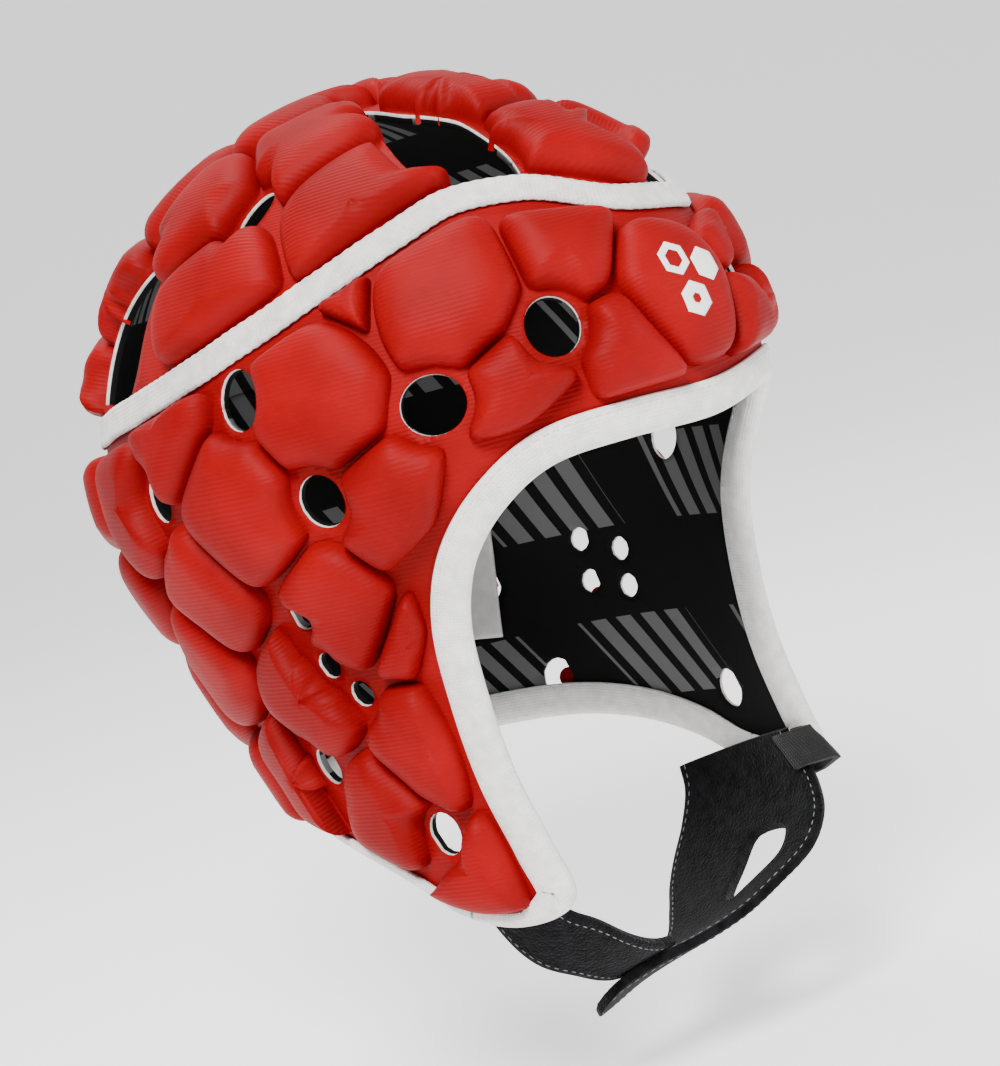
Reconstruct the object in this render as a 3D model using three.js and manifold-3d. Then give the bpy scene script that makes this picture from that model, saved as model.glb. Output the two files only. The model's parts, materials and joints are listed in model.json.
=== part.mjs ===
// Rugby scrum cap: foam pads held between two knitted layers, in a crown panel and a side panel that are
// joined under a woven tape. Millimetres, +Z up, the face towards -Y and the wearer's left towards +X.
// The origin is the point of the lining where the top of the head touches.
import * as THREE from "three";
import { mergeVertices } from "three/addons/utils/BufferGeometryUtils.js";
import Module from "manifold-3d";

const wasm = await Module();
wasm.setup();

// Sizes of the hollow, measured at the lining
const HEAD = { halfWidth: 77.5, front: 96, back: 105, dome: 85 };
const SKIRT = 144; // depth below the widest line that a fall of 180 would reach
const JAW_FORWARD = 34; // how far the sides swing towards the face at that depth

// Layers
const LAMINATE = 2.6; // the two knitted layers and the thin foam between the pads
const PAD = 7.2; // how far a pad stands proud of the laminate
const CHANNEL = 2.4; // clear width between two pads
const RIM = 1.2; // flat rim left round a vent, a dart or a trim
const CLEAR = 0.3; // gap between two pieces that touch

// Trims
const TAPE = { width: 8.6, thick: 1.4 };
const BINDING = { width: 7.4, neck: 3.6, wall: 1.2, slot: 1 };
const STRAP = { thick: 3, span: 52.4, middle: -31, top: -200, drop: 35 };
const TAB = { from: 1.5, to: 24, steps: 3, reach: 12.5, grip: 3.5, wall: 1.1 };
const LABEL = { width: 34, height: 26, thick: 0.8, off: 1 };

// A place on the cap is told by turn, the degrees round from the middle of the forehead towards the wearer's
// left, and fall, which is 0 at the top of the crown and 90 at the widest line.

// How the sides and the back draw in below the widest line, as shares of HEAD's width and back
const TAPER = [
  { depth: 0, width: 1, back: 1 },
  { depth: 0.31, width: 0.88, back: 0.91 },
  { depth: 0.62, width: 0.8, back: 0.78 },
  { depth: 0.94, width: 0.77, back: 0.7 },
];

// The seam between the crown panel and the side panel
const SEAM = [
  { turn: 0, fall: 57 },
  { turn: 20, fall: 51.5 },
  { turn: 36, fall: 50.5 },
  { turn: 50, fall: 54.5 },
  { turn: 76, fall: 63.5 },
  { turn: 106, fall: 72 },
  { turn: 140, fall: 77 },
  { turn: 180, fall: 78 },
];

// Ribs of the side panel: where each leaves the seam, and where it meets the lower edge
const RIBS = [
  { at: "brow", seam: 0, turn: 0, fall: 96.5 },
  { at: "brow", seam: 14, turn: 20, fall: 95.5 },
  { at: "brow", seam: 24, turn: 34, fall: 96 },
  { at: "temple", seam: 33, turn: 44, fall: 100.5 },
  { at: "temple", seam: 41, turn: 52, fall: 108 },
  { at: "cheekbone", seam: 48, turn: 57.5, fall: 118 },
  { at: "cheekbone", seam: 54, turn: 60.5, fall: 130 },
  { at: "cheek", seam: 60, turn: 63, fall: 144 },
  { at: "cheek", seam: 66, turn: 63.5, fall: 156 },
  { at: "tip", seam: 72, turn: 65, fall: 165 },
  { at: "tip", seam: 79, turn: 77, fall: 167.5 },
  { at: "tip", seam: 87, turn: 89, fall: 165.5 },
  { at: "neck", seam: 97, turn: 98, fall: 160 },
  { at: "neck", seam: 108, turn: 109, fall: 155.5 },
  { at: "neck", seam: 122, turn: 123, fall: 152.5 },
  { at: "nape", seam: 140, turn: 141, fall: 151 },
  { at: "nape", seam: 160, turn: 160, fall: 150.5 },
  { at: "nape", seam: 180, turn: 180, fall: 150.5 },
];

// Pads of one half. Grow widens a pad against its neighbours, in millimetres.
const CROWN_PADS = [
  { pad: "front", turn: 11.5, fall: 46, grow: 0 },
  { pad: "top", turn: 16, fall: 23, grow: 0 },
  { pad: "apex", turn: 110, fall: 9, grow: 0 },
  { pad: "side_front", turn: 54, fall: 48, grow: 3 },
  { pad: "side_top", turn: 71, fall: 27, grow: 0 },
  { pad: "side_back", turn: 87, fall: 57, grow: 2 },
  { pad: "behind", turn: 97, fall: 37, grow: 0 },
  { pad: "back_top", turn: 146, fall: 31, grow: 0 },
  { pad: "back_dart", turn: 143, fall: 50, grow: 0 },
  { pad: "back_seam", turn: 146, fall: 68, grow: -2 },
  { pad: "back_inner", turn: 168, fall: 63, grow: 0 },
];
const SIDE_PADS = [
  { pad: "brow_upper", turn: 20, fall: 65, grow: -2 },
  { pad: "temple_upper", turn: 43, fall: 67, grow: 4 },
  { pad: "button", turn: 59, fall: 64, grow: -9 },
  { pad: "side_upper", turn: 68, fall: 77, grow: 4 },
  { pad: "seam_back", turn: 99, fall: 78, grow: -2 },
  { pad: "brow_lower", turn: 17, fall: 83, grow: -3 },
  { pad: "brow_side", turn: 35, fall: 84, grow: -1 },
  { pad: "side_middle", turn: 87, fall: 93, grow: 3 },
  { pad: "cheekbone", turn: 59, fall: 98, grow: 2 },
  { pad: "back_upper", turn: 115, fall: 89, grow: 0 },
  { pad: "ear_front", turn: 77, fall: 111, grow: 1 },
  { pad: "ear_back", turn: 102, fall: 105, grow: 0 },
  { pad: "half_round", turn: 67, fall: 119, grow: -6 },
  { pad: "ear_lower", turn: 93, fall: 125, grow: 1 },
  { pad: "cheek", turn: 74, fall: 137, grow: 2 },
  { pad: "jaw", turn: 90, fall: 146, grow: -1 },
  { pad: "neck_side", turn: 111, fall: 140, grow: 0 },
  { pad: "tip", turn: 78, fall: 158, grow: -2 },
  { pad: "back_ear", turn: 117, fall: 119, grow: 0 },
  { pad: "nape_upper", turn: 138, fall: 88, grow: 1 },
  { pad: "nape_side", turn: 134, fall: 106, grow: 1 },
  { pad: "nape_mid", turn: 141, fall: 127, grow: 2 },
  { pad: "nape_low", turn: 133, fall: 144, grow: -1 },
  { pad: "spine_upper", turn: 163, fall: 92, grow: 1 },
  { pad: "spine_low", turn: 162, fall: 142, grow: 0 },
];
// Pads on the middle line
const MIDDLE_PADS = [
  { pad: "forehead", turn: 0, fall: 76, grow: 4 },
  { pad: "spine", turn: 180, fall: 113, grow: 3 },
];

// The left side of this soft cap hangs lower and further back round the ear
const SAG = { turn: 105, fall: 122, spreadTurn: 42, spreadFall: 34, back: 15, down: 9 };

// The seam, and what lies beside it, dips over the left of the brow
const DIP = { turn: 28, fall: 55, spreadTurn: 20, spreadFall: 14, down: 12 };

// Round vents on each side, in millimetres along the turn and the fall; lean turns a long one, in degrees
const VENTS = [
  { vent: "temple", right: 27.5, rightFall: 76.5, left: 27.5, leftFall: 76.5, width: 14, height: 15.5, lean: 0 },
  { vent: "side", right: 50, rightFall: 83.5, left: 50, leftFall: 83.5, width: 17, height: 15, lean: 0 },
  { vent: "seam", right: 83, rightFall: 75, left: 83, leftFall: 75, width: 13, height: 16, lean: 0 },
  { vent: "above_ear", right: 72, rightFall: 94, left: 81, leftFall: 106, width: 13, height: 14, lean: 0 },
  { vent: "back", right: 107, rightFall: 89, left: 107, leftFall: 89, width: 11, height: 13, lean: 0 },
  { vent: "jaw", right: 82.5, rightFall: 152, left: 84, leftFall: 153, width: 10, height: 12, lean: 0 },
  { vent: "neck", right: 103.5, rightFall: 139, left: 124, leftFall: 146, width: 10, height: 11, lean: 0 },
  { vent: "nape", right: 149, rightFall: 106, left: 130, leftFall: 127, width: 12, height: 12, lean: 0 },
];
const LEAF_VENTS = [
  { vent: "leaf", right: 82, rightFall: 40.5, left: 82, leftFall: 40.5, width: 7, height: 15, lean: 28 },
];
const EAR_HOLE = 7.4; // across
const EAR_HOLES = [
  { turn: -87, fall: 112 },
  { turn: -87, fall: 121 },
  { turn: -83, fall: 126.5 },
  { turn: 106, fall: 122 },
  { turn: 98, fall: 125 },
  { turn: 107, fall: 130 },
  { turn: 99, fall: 132 },
];

// Darts of one half: openings of the crown panel that let the size be drawn in, closed below by the tape
const FRONT_DART = [
  { turn: 60, fall: 7 },
  { turn: 28, fall: 21 },
  { turn: 14.5, fall: 30 },
  { turn: 15, fall: 44 },
  { turn: 19, fall: 58 },
  { turn: 31, fall: 58 },
  { turn: 41, fall: 39.5 },
];
const BACK_DART = [
  { turn: 111, fall: 44 },
  { turn: 128, fall: 51 },
  { turn: 137, fall: 58 },
  { turn: 138, fall: 66 },
  { turn: 133, fall: 84 },
  { turn: 118, fall: 82 },
  { turn: 111, fall: 66 },
];

// Chin straps, by the angle round the loop from its left root: centre, width, how far the edges bow in,
// how the strap tilts forward, in degrees, and how far it hangs below the loop
const STRAP_FAR = [
  { angle: 0, y: -31, width: 44, bow: 4.4, tilt: 12, low: 0 },
  { angle: 14, y: -32.5, width: 47, bow: 3.2, tilt: 12, low: 0 },
  { angle: 30, y: -35, width: 55, bow: 1.6, tilt: 12, low: 0 },
  { angle: 45, y: -38, width: 60, bow: 1.2, tilt: 12, low: 0.5 },
  { angle: 58, y: -40, width: 57, bow: 1, tilt: 12, low: 2 },
  { angle: 70, y: -41, width: 46, bow: 0.8, tilt: 13, low: 3.5 },
  { angle: 85, y: -42, width: 32, bow: 0.4, tilt: 16, low: 6.5 },
  { angle: 98, y: -38, width: 25, bow: 0.2, tilt: 22, low: 9.5 },
  { angle: 108, y: -33.5, width: 20, bow: 0, tilt: 30, low: 11.5 },
  { angle: 116, y: -31, width: 16, bow: 0, tilt: 36, low: 13.5 },
  { angle: 121, y: -30, width: 13, bow: 0, tilt: 38, low: 15 },
  { angle: 123, y: -29.7, width: 6, bow: 0, tilt: 38, low: 15.6 },
];
const STRAP_NEAR = [
  { angle: 180, y: -30.5, width: 24, bow: 0.8, tilt: 12, low: 0.5 },
  { angle: 165, y: -32.5, width: 24, bow: 0.6, tilt: 25, low: 3 },
  { angle: 150, y: -35, width: 23, bow: 0.4, tilt: 38, low: 7.5 },
  { angle: 135, y: -37.5, width: 21.5, bow: 0.2, tilt: 44, low: 10.5 },
  { angle: 120, y: -38, width: 19.5, bow: 0, tilt: 38, low: 12 },
  { angle: 108, y: -37, width: 17, bow: 0, tilt: 30, low: 11 },
  { angle: 100, y: -37, width: 13, bow: 0, tilt: 23.5, low: 9.5 },
  { angle: 97, y: -37, width: 6, bow: 0, tilt: 21.5, low: 8.9 },
];
const NEAR_ROOT = 9; // how far the near strap runs on up inside the tip of its flap
// Opening of the far strap, by the angle round the loop and the distance in front of the strap's centre
const STRAP_HOLE = [
  { angle: 46, forward: 8 },
  { angle: 49, forward: 13.5 },
  { angle: 56, forward: 13.5 },
  { angle: 64, forward: 9.5 },
  { angle: 72, forward: 4 },
  { angle: 65, forward: 1.5 },
  { angle: 56, forward: 1.5 },
  { angle: 48, forward: 3 },
];
const LABEL_PLACE = { turn: 135, fall: 126, lean: 8 };

const { degToRad, lerp, clamp } = THREE.MathUtils;

// Value of a table's column between its rows, level at both ends
function readTable(rows, key, column, x) {
  let i = 0;
  while (i < rows.length - 2 && x > rows[i + 1][key]) i++;
  const slope = (j) =>
    j === 0 || j === rows.length - 1
      ? 0
      : (rows[j + 1][column] - rows[j - 1][column]) / (rows[j + 1][key] - rows[j - 1][key]);
  const span = rows[i + 1][key] - rows[i][key];
  const f = clamp((x - rows[i][key]) / span, 0, 1);
  return hermite(f, rows[i][column], rows[i + 1][column], slope(i) * span, slope(i + 1) * span);
}

function hermite(f, from, to, leave, arrive) {
  const f2 = f * f;
  const f3 = f2 * f;
  return (2 * f3 - 3 * f2 + 1) * from + (f3 - 2 * f2 + f) * leave + (3 * f2 - 2 * f3) * to + (f3 - f2) * arrive;
}

// Point of the lining
function lining(turn, fall) {
  const round = degToRad(turn);
  const dome = degToRad(Math.min(fall, 90));
  const depth = Math.max(fall - 90, 0) / 90;
  const widthShare = readTable(TAPER, "depth", "width", depth);
  const backShare = readTable(TAPER, "depth", "back", depth);
  const length = Math.cos(round) > 0 ? HEAD.front * widthShare : HEAD.back * backShare;
  return new THREE.Vector3(
    HEAD.halfWidth * widthShare * Math.sin(dome) * Math.sin(round),
    -length * Math.sin(dome) * Math.cos(round) - JAW_FORWARD * depth * depth,
    HEAD.dome * (Math.cos(dome) - 1) - SKIRT * depth,
  );
}

// The chart is a flat map of the cap with the crown's top in the middle, so it has no seam and no pole.
const toChart = (turn, fall) => [fall * Math.sin(degToRad(turn)), -fall * Math.cos(degToRad(turn))];
const fromChart = (u, w) => [THREE.MathUtils.radToDeg(Math.atan2(u, -w)), Math.hypot(u, w)];
const chartLining = (u, w) => lining(...fromChart(u, w));

const STEP = 0.25; // step on the chart for slopes, in degrees
function outward(u, w) {
  const alongU = chartLining(u + STEP, w).sub(chartLining(u - STEP, w));
  const alongW = chartLining(u, w + STEP).sub(chartLining(u, w - STEP));
  return alongU.cross(alongW).normalize();
}

// Point at a height above the lining
const atChart = (u, w, height) => chartLining(u, w).addScaledVector(outward(u, w), height);
const at = (turn, fall, height) => atChart(...toChart(turn, fall), height);

// Chart place of the surface point that lies straight below a target, seen along a direction
function settle(target, direction, start) {
  let [u, w] = start;
  for (let round = 0; round < 5; round++) {
    const here = atChart(u, w, LAMINATE);
    const alongU = atChart(u + STEP, w, LAMINATE).sub(here).divideScalar(STEP);
    const alongW = atChart(u, w + STEP, LAMINATE).sub(here).divideScalar(STEP);
    const step = new THREE.Matrix3()
      .set(alongU.x, alongW.x, direction.x, alongU.y, alongW.y, direction.y, alongU.z, alongW.z, direction.z)
      .invert();
    const move = target.clone().sub(here).applyMatrix3(step);
    u += move.x;
    w += move.y;
  }
  return [u, w];
}

// Closed solids
function solidFrom(points, triangles) {
  return new wasm.Manifold(
    new wasm.Mesh({
      numProp: 3,
      vertProperties: new Float32Array(points.flatMap((p) => [p.x, p.y, p.z])),
      triVerts: new Uint32Array(triangles),
    }),
  );
}

function solidOf(geometry) {
  for (const name of ["normal", "uv"]) geometry.deleteAttribute(name);
  const merged = mergeVertices(geometry);
  return new wasm.Manifold(
    new wasm.Mesh({
      numProp: 3,
      vertProperties: new Float32Array(merged.attributes.position.array),
      triVerts: new Uint32Array(merged.index.array),
    }),
  );
}

function geometryOf(solid) {
  const { vertProperties, triVerts } = solid.getMesh();
  const geometry = new THREE.BufferGeometry();
  geometry.setAttribute("position", new THREE.BufferAttribute(vertProperties, 3));
  geometry.setIndex(new THREE.BufferAttribute(triVerts, 1));
  return geometry;
}

// Skin through rings of points, each ring running anticlockwise seen from the last one. A ring goes out along
// one skin and comes back along the other, so rungs between the two close the ends, unless the run is a loop.
function loft(rings, loop = false) {
  const size = rings[0].length;
  const triangles = [];
  const bands = loop ? rings.length : rings.length - 1;
  for (let r = 0; r < bands; r++) {
    const low = r * size;
    const high = ((r + 1) % rings.length) * size;
    for (let i = 0; i < size; i++) {
      const j = (i + 1) % size;
      triangles.push(low + i, low + j, high + j, low + i, high + j, high + i);
    }
  }
  if (!loop) {
    const end = (rings.length - 1) * size;
    for (let i = 0; i < size / 2 - 1; i++) {
      const [far, before] = [size - 1 - i, size - 2 - i];
      triangles.push(i, before, i + 1, i, far, before);
      triangles.push(end + i, end + i + 1, end + before, end + i, end + before, end + far);
    }
  }
  return solidFrom(rings.flat(), triangles);
}

// Ribs of the side panel as a smooth run: place 0 is the brow's middle, the last rib the middle of the nape
const LAST_RIB = RIBS.length - 1;
function rib(round) {
  const place = round > LAST_RIB ? round - 2 * LAST_RIB : round;
  const side = Math.sign(place) || 1;
  const along = Math.abs(place);
  const i = Math.min(Math.floor(along), LAST_RIB - 1);
  const mirrored = (column) => (j) => {
    if (column === "fall") return RIBS[LAST_RIB - Math.abs(LAST_RIB - Math.abs(j))].fall;
    if (j < 0) return -RIBS[-j][column];
    return j > LAST_RIB ? 360 - RIBS[2 * LAST_RIB - j][column] : RIBS[j][column];
  };
  const value = (column) => {
    const row = mirrored(column);
    const leave = (row(i + 1) - row(i - 1)) / 2;
    return hermite(along - i, row(i), row(i + 1), leave, (row(i + 2) - row(i)) / 2);
  };
  return { seam: side * value("seam"), turn: side * value("turn"), fall: value("fall") };
}
const shareOf = (form, turn, fall) =>
  Math.exp(-(((turn - form.turn) / form.spreadTurn) ** 2) - ((fall - form.fall) / form.spreadFall) ** 2);
const dipped = (turn, fall) => fall + DIP.down * shareOf(DIP, turn, fall);
const seamFall = (turn) => dipped(turn, readTable(SEAM, "turn", "fall", Math.abs(turn)));

const STATIONS = 22; // of each half
const stations = Array.from({ length: 2 * STATIONS }, (_, i) => ((i - STATIONS) * LAST_RIB) / STATIONS);

const BINDING_ENDS = 14; // the station where the face binding stops and the neck binding starts
const stationPlace = (i) => (i * LAST_RIB) / STATIONS;
const bindingOver = (place) => (Math.abs(place) < stationPlace(BINDING_ENDS + 0.5) ? BINDING.width : BINDING.neck);

// Laminate of a panel: a grid of chart places with an inner and an outer skin
function laminate(columns, closedTop) {
  const rows = columns[0].length;
  const skin = (height) => columns.flatMap((column) => column.map(([u, w]) => atChart(u, w, height)));
  const points = [...skin(LAMINATE), ...skin(0)];
  const inner = columns.length * rows;
  const triangles = [];
  const quad = (a, b, c, d) => triangles.push(a, b, c, a, c, d);
  columns.forEach((_, i) => {
    const a = i * rows;
    const b = ((i + 1) % columns.length) * rows;
    for (let r = 0; r < rows - 1; r++) {
      quad(a + r, a + r + 1, b + r + 1, b + r);
      quad(inner + a + r, inner + b + r, inner + b + r + 1, inner + a + r + 1);
    }
    const end = rows - 1;
    quad(a + end, inner + a + end, inner + b + end, b + end);
    if (!closedTop) quad(a, b, inner + b, inner + a);
  });
  if (closedTop) {
    const top = points.push(atChart(0, 0, LAMINATE)) - 1;
    const under = points.push(atChart(0, 0, 0)) - 1;
    columns.forEach((_, i) => {
      const a = i * rows;
      const b = ((i + 1) % columns.length) * rows;
      triangles.push(top, a, b, under, inner + b, inner + a);
    });
  }
  return solidFrom(points, triangles);
}
const SEAM_GAP = 0.12; // half of the gap in the seam, in degrees of fall

const CROWN_ROWS = 5;
function crownLaminate() {
  const columns = stations.map((place) => {
    const turn = rib(place).seam;
    const edge = seamFall(turn) - SEAM_GAP;
    return Array.from({ length: CROWN_ROWS }, (_, r) => toChart(turn, (edge * (r + 1)) / CROWN_ROWS));
  });
  return laminate(columns, true);
}

const SIDE_ROWS = 7;
function sidePlace(place, share) {
  const { seam, turn, fall } = rib(place);
  return [lerp(seam, turn, share), lerp(seamFall(seam) + SEAM_GAP, fall, share)];
}
function sideLaminate() {
  const columns = stations.map((place) =>
    Array.from({ length: SIDE_ROWS }, (_, r) => toChart(...sidePlace(place, r / (SIDE_ROWS - 1)))),
  );
  return laminate(columns, false);
}

// Flat frame that touches the outer skin of the laminate at a place
function frameAt(turn, fall) {
  const origin = at(turn, fall, LAMINATE);
  const normal = outward(...toChart(turn, fall));
  const across = at(turn + 1, fall, LAMINATE).sub(origin);
  across.addScaledVector(normal, -across.dot(normal)).normalize();
  const up = normal.clone().cross(across);
  const local = (point) => {
    const from = point.clone().sub(origin);
    return new THREE.Vector2(from.dot(across), from.dot(up));
  };
  const world = (x, y) => origin.clone().addScaledVector(across, x).addScaledVector(up, y);
  return { turn, fall, origin, normal, across, up, local, world };
}

// Openings: an outline in the frame of its middle, and points of the same outline on the skin
const VENT_SIDES = 10;
function ventOpening(turn, fall, width, height, lean = 0) {
  const frame = frameAt(turn, fall);
  const angle = degToRad(lean * Math.sign(turn));
  const outline = Array.from({ length: VENT_SIDES }, (_, i) => {
    const a = (i / VENT_SIDES) * 2 * Math.PI;
    const point = new THREE.Vector2((width / 2) * Math.cos(a), (height / 2) * Math.sin(a));
    return point.rotateAround(new THREE.Vector2(), angle);
  });
  return { frame, outline, edge: outline.map((p) => frame.world(p.x, p.y)) };
}
const bothSides = (row) => [
  ventOpening(-row.right, row.rightFall, row.width, row.height, row.lean),
  ventOpening(row.left, row.leftFall, row.width, row.height, row.lean),
];
function dartOpening(corners, side) {
  const mean = (key) => corners.reduce((sum, corner) => sum + corner[key], 0) / corners.length;
  const frame = frameAt(side * mean("turn"), mean("fall"));
  const skin = corners.map(({ turn, fall }) => at(side * turn, dipped(side * turn, fall), LAMINATE));
  const edge = skin.flatMap((here, i) => [here, here.clone().lerp(skin[(i + 1) % skin.length], 0.5)]);
  const outline = skin.map((point) => frame.local(point));
  return { frame, outline: side > 0 ? outline : outline.reverse(), edge };
}
const crownOpenings = [
  ...[FRONT_DART, BACK_DART].flatMap((corners) => [dartOpening(corners, -1), dartOpening(corners, 1)]),
  ...LEAF_VENTS.flatMap(bothSides),
];
const sideOpenings = [
  ...VENTS.flatMap(bothSides),
  ...EAR_HOLES.map((hole) => ventOpening(hole.turn, hole.fall, EAR_HOLE, EAR_HOLE)),
];

const SMOOTHING = 0.3; // detail finer than this is dropped from a panel
const CUT = { below: 12, above: 18 }; // how far an opening's cutter reaches either side of the skin
function prism(frame, outline, below, above) {
  const geometry = new THREE.ExtrudeGeometry(new THREE.Shape(outline), { depth: below + above, bevelEnabled: false });
  const base = frame.origin.clone().addScaledVector(frame.normal, -below);
  geometry.applyMatrix4(new THREE.Matrix4().makeBasis(frame.across, frame.up, frame.normal).setPosition(base));
  return solidOf(geometry);
}

// The seam and the lower edge as runs of points on the skin
const RUN_POINTS = 240;
const runPlaces = Array.from({ length: RUN_POINTS }, (_, i) => (i / RUN_POINTS - 0.5) * 2 * LAST_RIB);
const runOf = (placeOf) => runPlaces.map((place) => at(...placeOf(place), LAMINATE));
const seamRun = runOf((place) => [rib(place).seam, seamFall(rib(place).seam)]);
const edgeRun = runOf((place) => sidePlace(place, 1));

// Walls of a pad in its own frame: a direction, and how far the pad may go that way
const LEAST = 3; // least distance from a pad's middle to a wall
const WALL_APART = 13; // between the places where a run is read beside its nearest point
const towards = (frame, point, margin) => {
  const direction = frame.local(point).normalize();
  return { direction, distance: Math.max(point.distanceTo(frame.origin) - margin, LEAST) };
};
function runWalls(frame, run, marginAt) {
  const distance = (point) => point.distanceTo(frame.origin);
  const nearest = run.reduce((best, point, i) => (distance(point) < distance(run[best]) ? i : best), 0);
  const margin = marginAt(runPlaces[nearest]);
  const walls = [towards(frame, run[nearest], margin)];
  for (const way of [-1, 1]) {
    let i = nearest;
    while (run[i].distanceTo(run[nearest]) < WALL_APART) i = (i + way + run.length) % run.length;
    const here = frame.local(run[i]);
    const next = frame.local(run[(i + 1) % run.length]);
    const side = new THREE.Vector2(next.y - here.y, here.x - next.x).normalize();
    if (side.dot(here) < 0) side.negate();
    const reach = side.dot(here) - margin;
    if (here.length() < REACH * 1.5) walls.push({ direction: side, distance: Math.max(reach, LEAST) });
  }
  return walls;
}

// Pads: each fills the room between its neighbours and the openings, the seam and the lower edge
const REACH = 25; // the most that a pad goes from its middle
const ROUNDNESS = 9; // how square the corners of a pad are
const PAD_SIDES = 9;
const PAD_ROOT = 1.3; // how deep a pad's solid starts inside the laminate
const PAD_LEVELS = { shoulder: 0.82, top: 1.05, inset: 2.4 };
const sagged = (row) => {
  const share = shareOf(SAG, row.turn, row.fall);
  return { ...row, turn: row.turn + SAG.back * share, fall: dipped(row.turn, row.fall) + SAG.down * share };
};
const mirrored = (rows) => [...rows.map((row) => ({ ...row, turn: -row.turn })), ...rows.map(sagged)];

function padSolid(pad, pads, openings) {
  const { frame } = pad;
  const walls = [
    ...pads
      .filter((other) => other !== pad && other.frame.origin.distanceTo(frame.origin) < 3 * REACH)
      .map((other) => {
        const half = (other.frame.origin.distanceTo(frame.origin) + pad.grow - other.grow) / 2;
        const direction = frame.local(other.frame.origin).normalize();
        return { direction, distance: Math.max(half - CHANNEL / 2, LEAST) };
      }),
    ...openings
      .map((opening) => opening.edge.reduce((a, b) => (a.distanceTo(frame.origin) < b.distanceTo(frame.origin) ? a : b)))
      .filter((point) => point.distanceTo(frame.origin) < 1.3 * REACH)
      .map((point) => towards(frame, point, RIM)),
    ...runWalls(frame, seamRun, () => TAPE.width / 2 + 2 * CLEAR),
    ...(pad.lower ? runWalls(frame, edgeRun, (place) => bindingOver(place) + 2 * CLEAR) : []),
  ];
  const reach = (x, y) => {
    const push = walls.map((wall) => Math.max(0, x * wall.direction.x + y * wall.direction.y) / wall.distance);
    return push.reduce((sum, share) => sum + share ** ROUNDNESS, REACH ** -ROUNDNESS) ** (-1 / ROUNDNESS);
  };
  const spokes = Array.from({ length: PAD_SIDES }, (_, i) => {
    const angle = (i / PAD_SIDES) * 2 * Math.PI;
    const [x, y] = [Math.cos(angle), Math.sin(angle)];
    return { x, y, rim: reach(x, y) };
  });
  const ring = (inset, height) =>
    spokes.map(({ x, y, rim }) => {
      const out = Math.max(rim - inset, rim * 0.6);
      const place = settle(frame.world(x * out, y * out), frame.normal, toChart(frame.turn, frame.fall));
      return atChart(...place, height);
    });
  const { shoulder, top, inset } = PAD_LEVELS;
  const points = [
    ...ring(0, LAMINATE - PAD_ROOT),
    ...ring(inset, LAMINATE + shoulder * PAD),
    frame.origin.clone().addScaledVector(frame.normal, top * PAD),
    frame.origin.clone().addScaledVector(frame.normal, -PAD_ROOT),
  ];
  const tip = 2 * PAD_SIDES;
  const triangles = [];
  for (let i = 0; i < PAD_SIDES; i++) {
    const j = (i + 1) % PAD_SIDES;
    const [high, next] = [PAD_SIDES + i, PAD_SIDES + j];
    triangles.push(i, j, next, i, next, high, high, next, tip, j, i, tip + 1);
  }
  return solidFrom(points, triangles);
}

// Frame of a run on the skin: along it, and out of the skin sideways from it
function besideRun(placeOf, place) {
  const origin = at(...placeOf(place), LAMINATE);
  const along = at(...placeOf(place + 0.04), LAMINATE).sub(at(...placeOf(place - 0.04), LAMINATE)).normalize();
  const chart = toChart(...placeOf(place));
  const normal = outward(...chart);
  const down = along.clone().cross(normal).normalize();
  return (offset, height) => {
    const spot = settle(origin.clone().addScaledVector(down, offset), normal, chart);
    return atChart(...spot, height);
  };
}
const seamPlace = (place) => {
  const { seam } = rib(place);
  return [seam, seamFall(seam)];
};
const edgePlace = (place) => sidePlace(place, 1);
const strip = (placeOf, fromAt, to, low, high) =>
  loft(stations.map((place) => {
    const point = besideRun(placeOf, place);
    const from = fromAt(place);
    return [point(from, high), point(to, high), point(to, low), point(from, low)];
  }), true);

// A panel: its laminate, the pads that stand clear of the trims, and the openings cut through both
function panel(base, rows, lower, openings) {
  const pads = rows.map((row) => ({ ...row, lower, frame: frameAt(row.turn, row.fall) }));
  const reach = [LAMINATE - 2 * PAD_ROOT, LAMINATE + 2 * PAD];
  const seamRoom = strip(seamPlace, () => -TAPE.width / 2 - CLEAR, TAPE.width / 2 + CLEAR, ...reach);
  const edgeRoom = strip(edgePlace, (place) => -bindingOver(place) - CLEAR, BINDING.width, ...reach);
  const raised = wasm.Manifold.union(pads.map((pad) => padSolid(pad, pads, openings)))
    .subtract(seamRoom)
    .subtract(edgeRoom);
  const cutters = openings.map(({ frame, outline }) => prism(frame, outline, CUT.below, CUT.above));
  const open = raised.add(base).subtract(wasm.Manifold.union(cutters)).simplify(SMOOTHING);
  return open.decompose().reduce((whole, scrap) => (whole.volume() > scrap.volume() ? whole : scrap));
}

const tape = () =>
  strip(seamPlace, () => -TAPE.width / 2, TAPE.width / 2, LAMINATE + CLEAR, LAMINATE + CLEAR + TAPE.thick);

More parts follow.
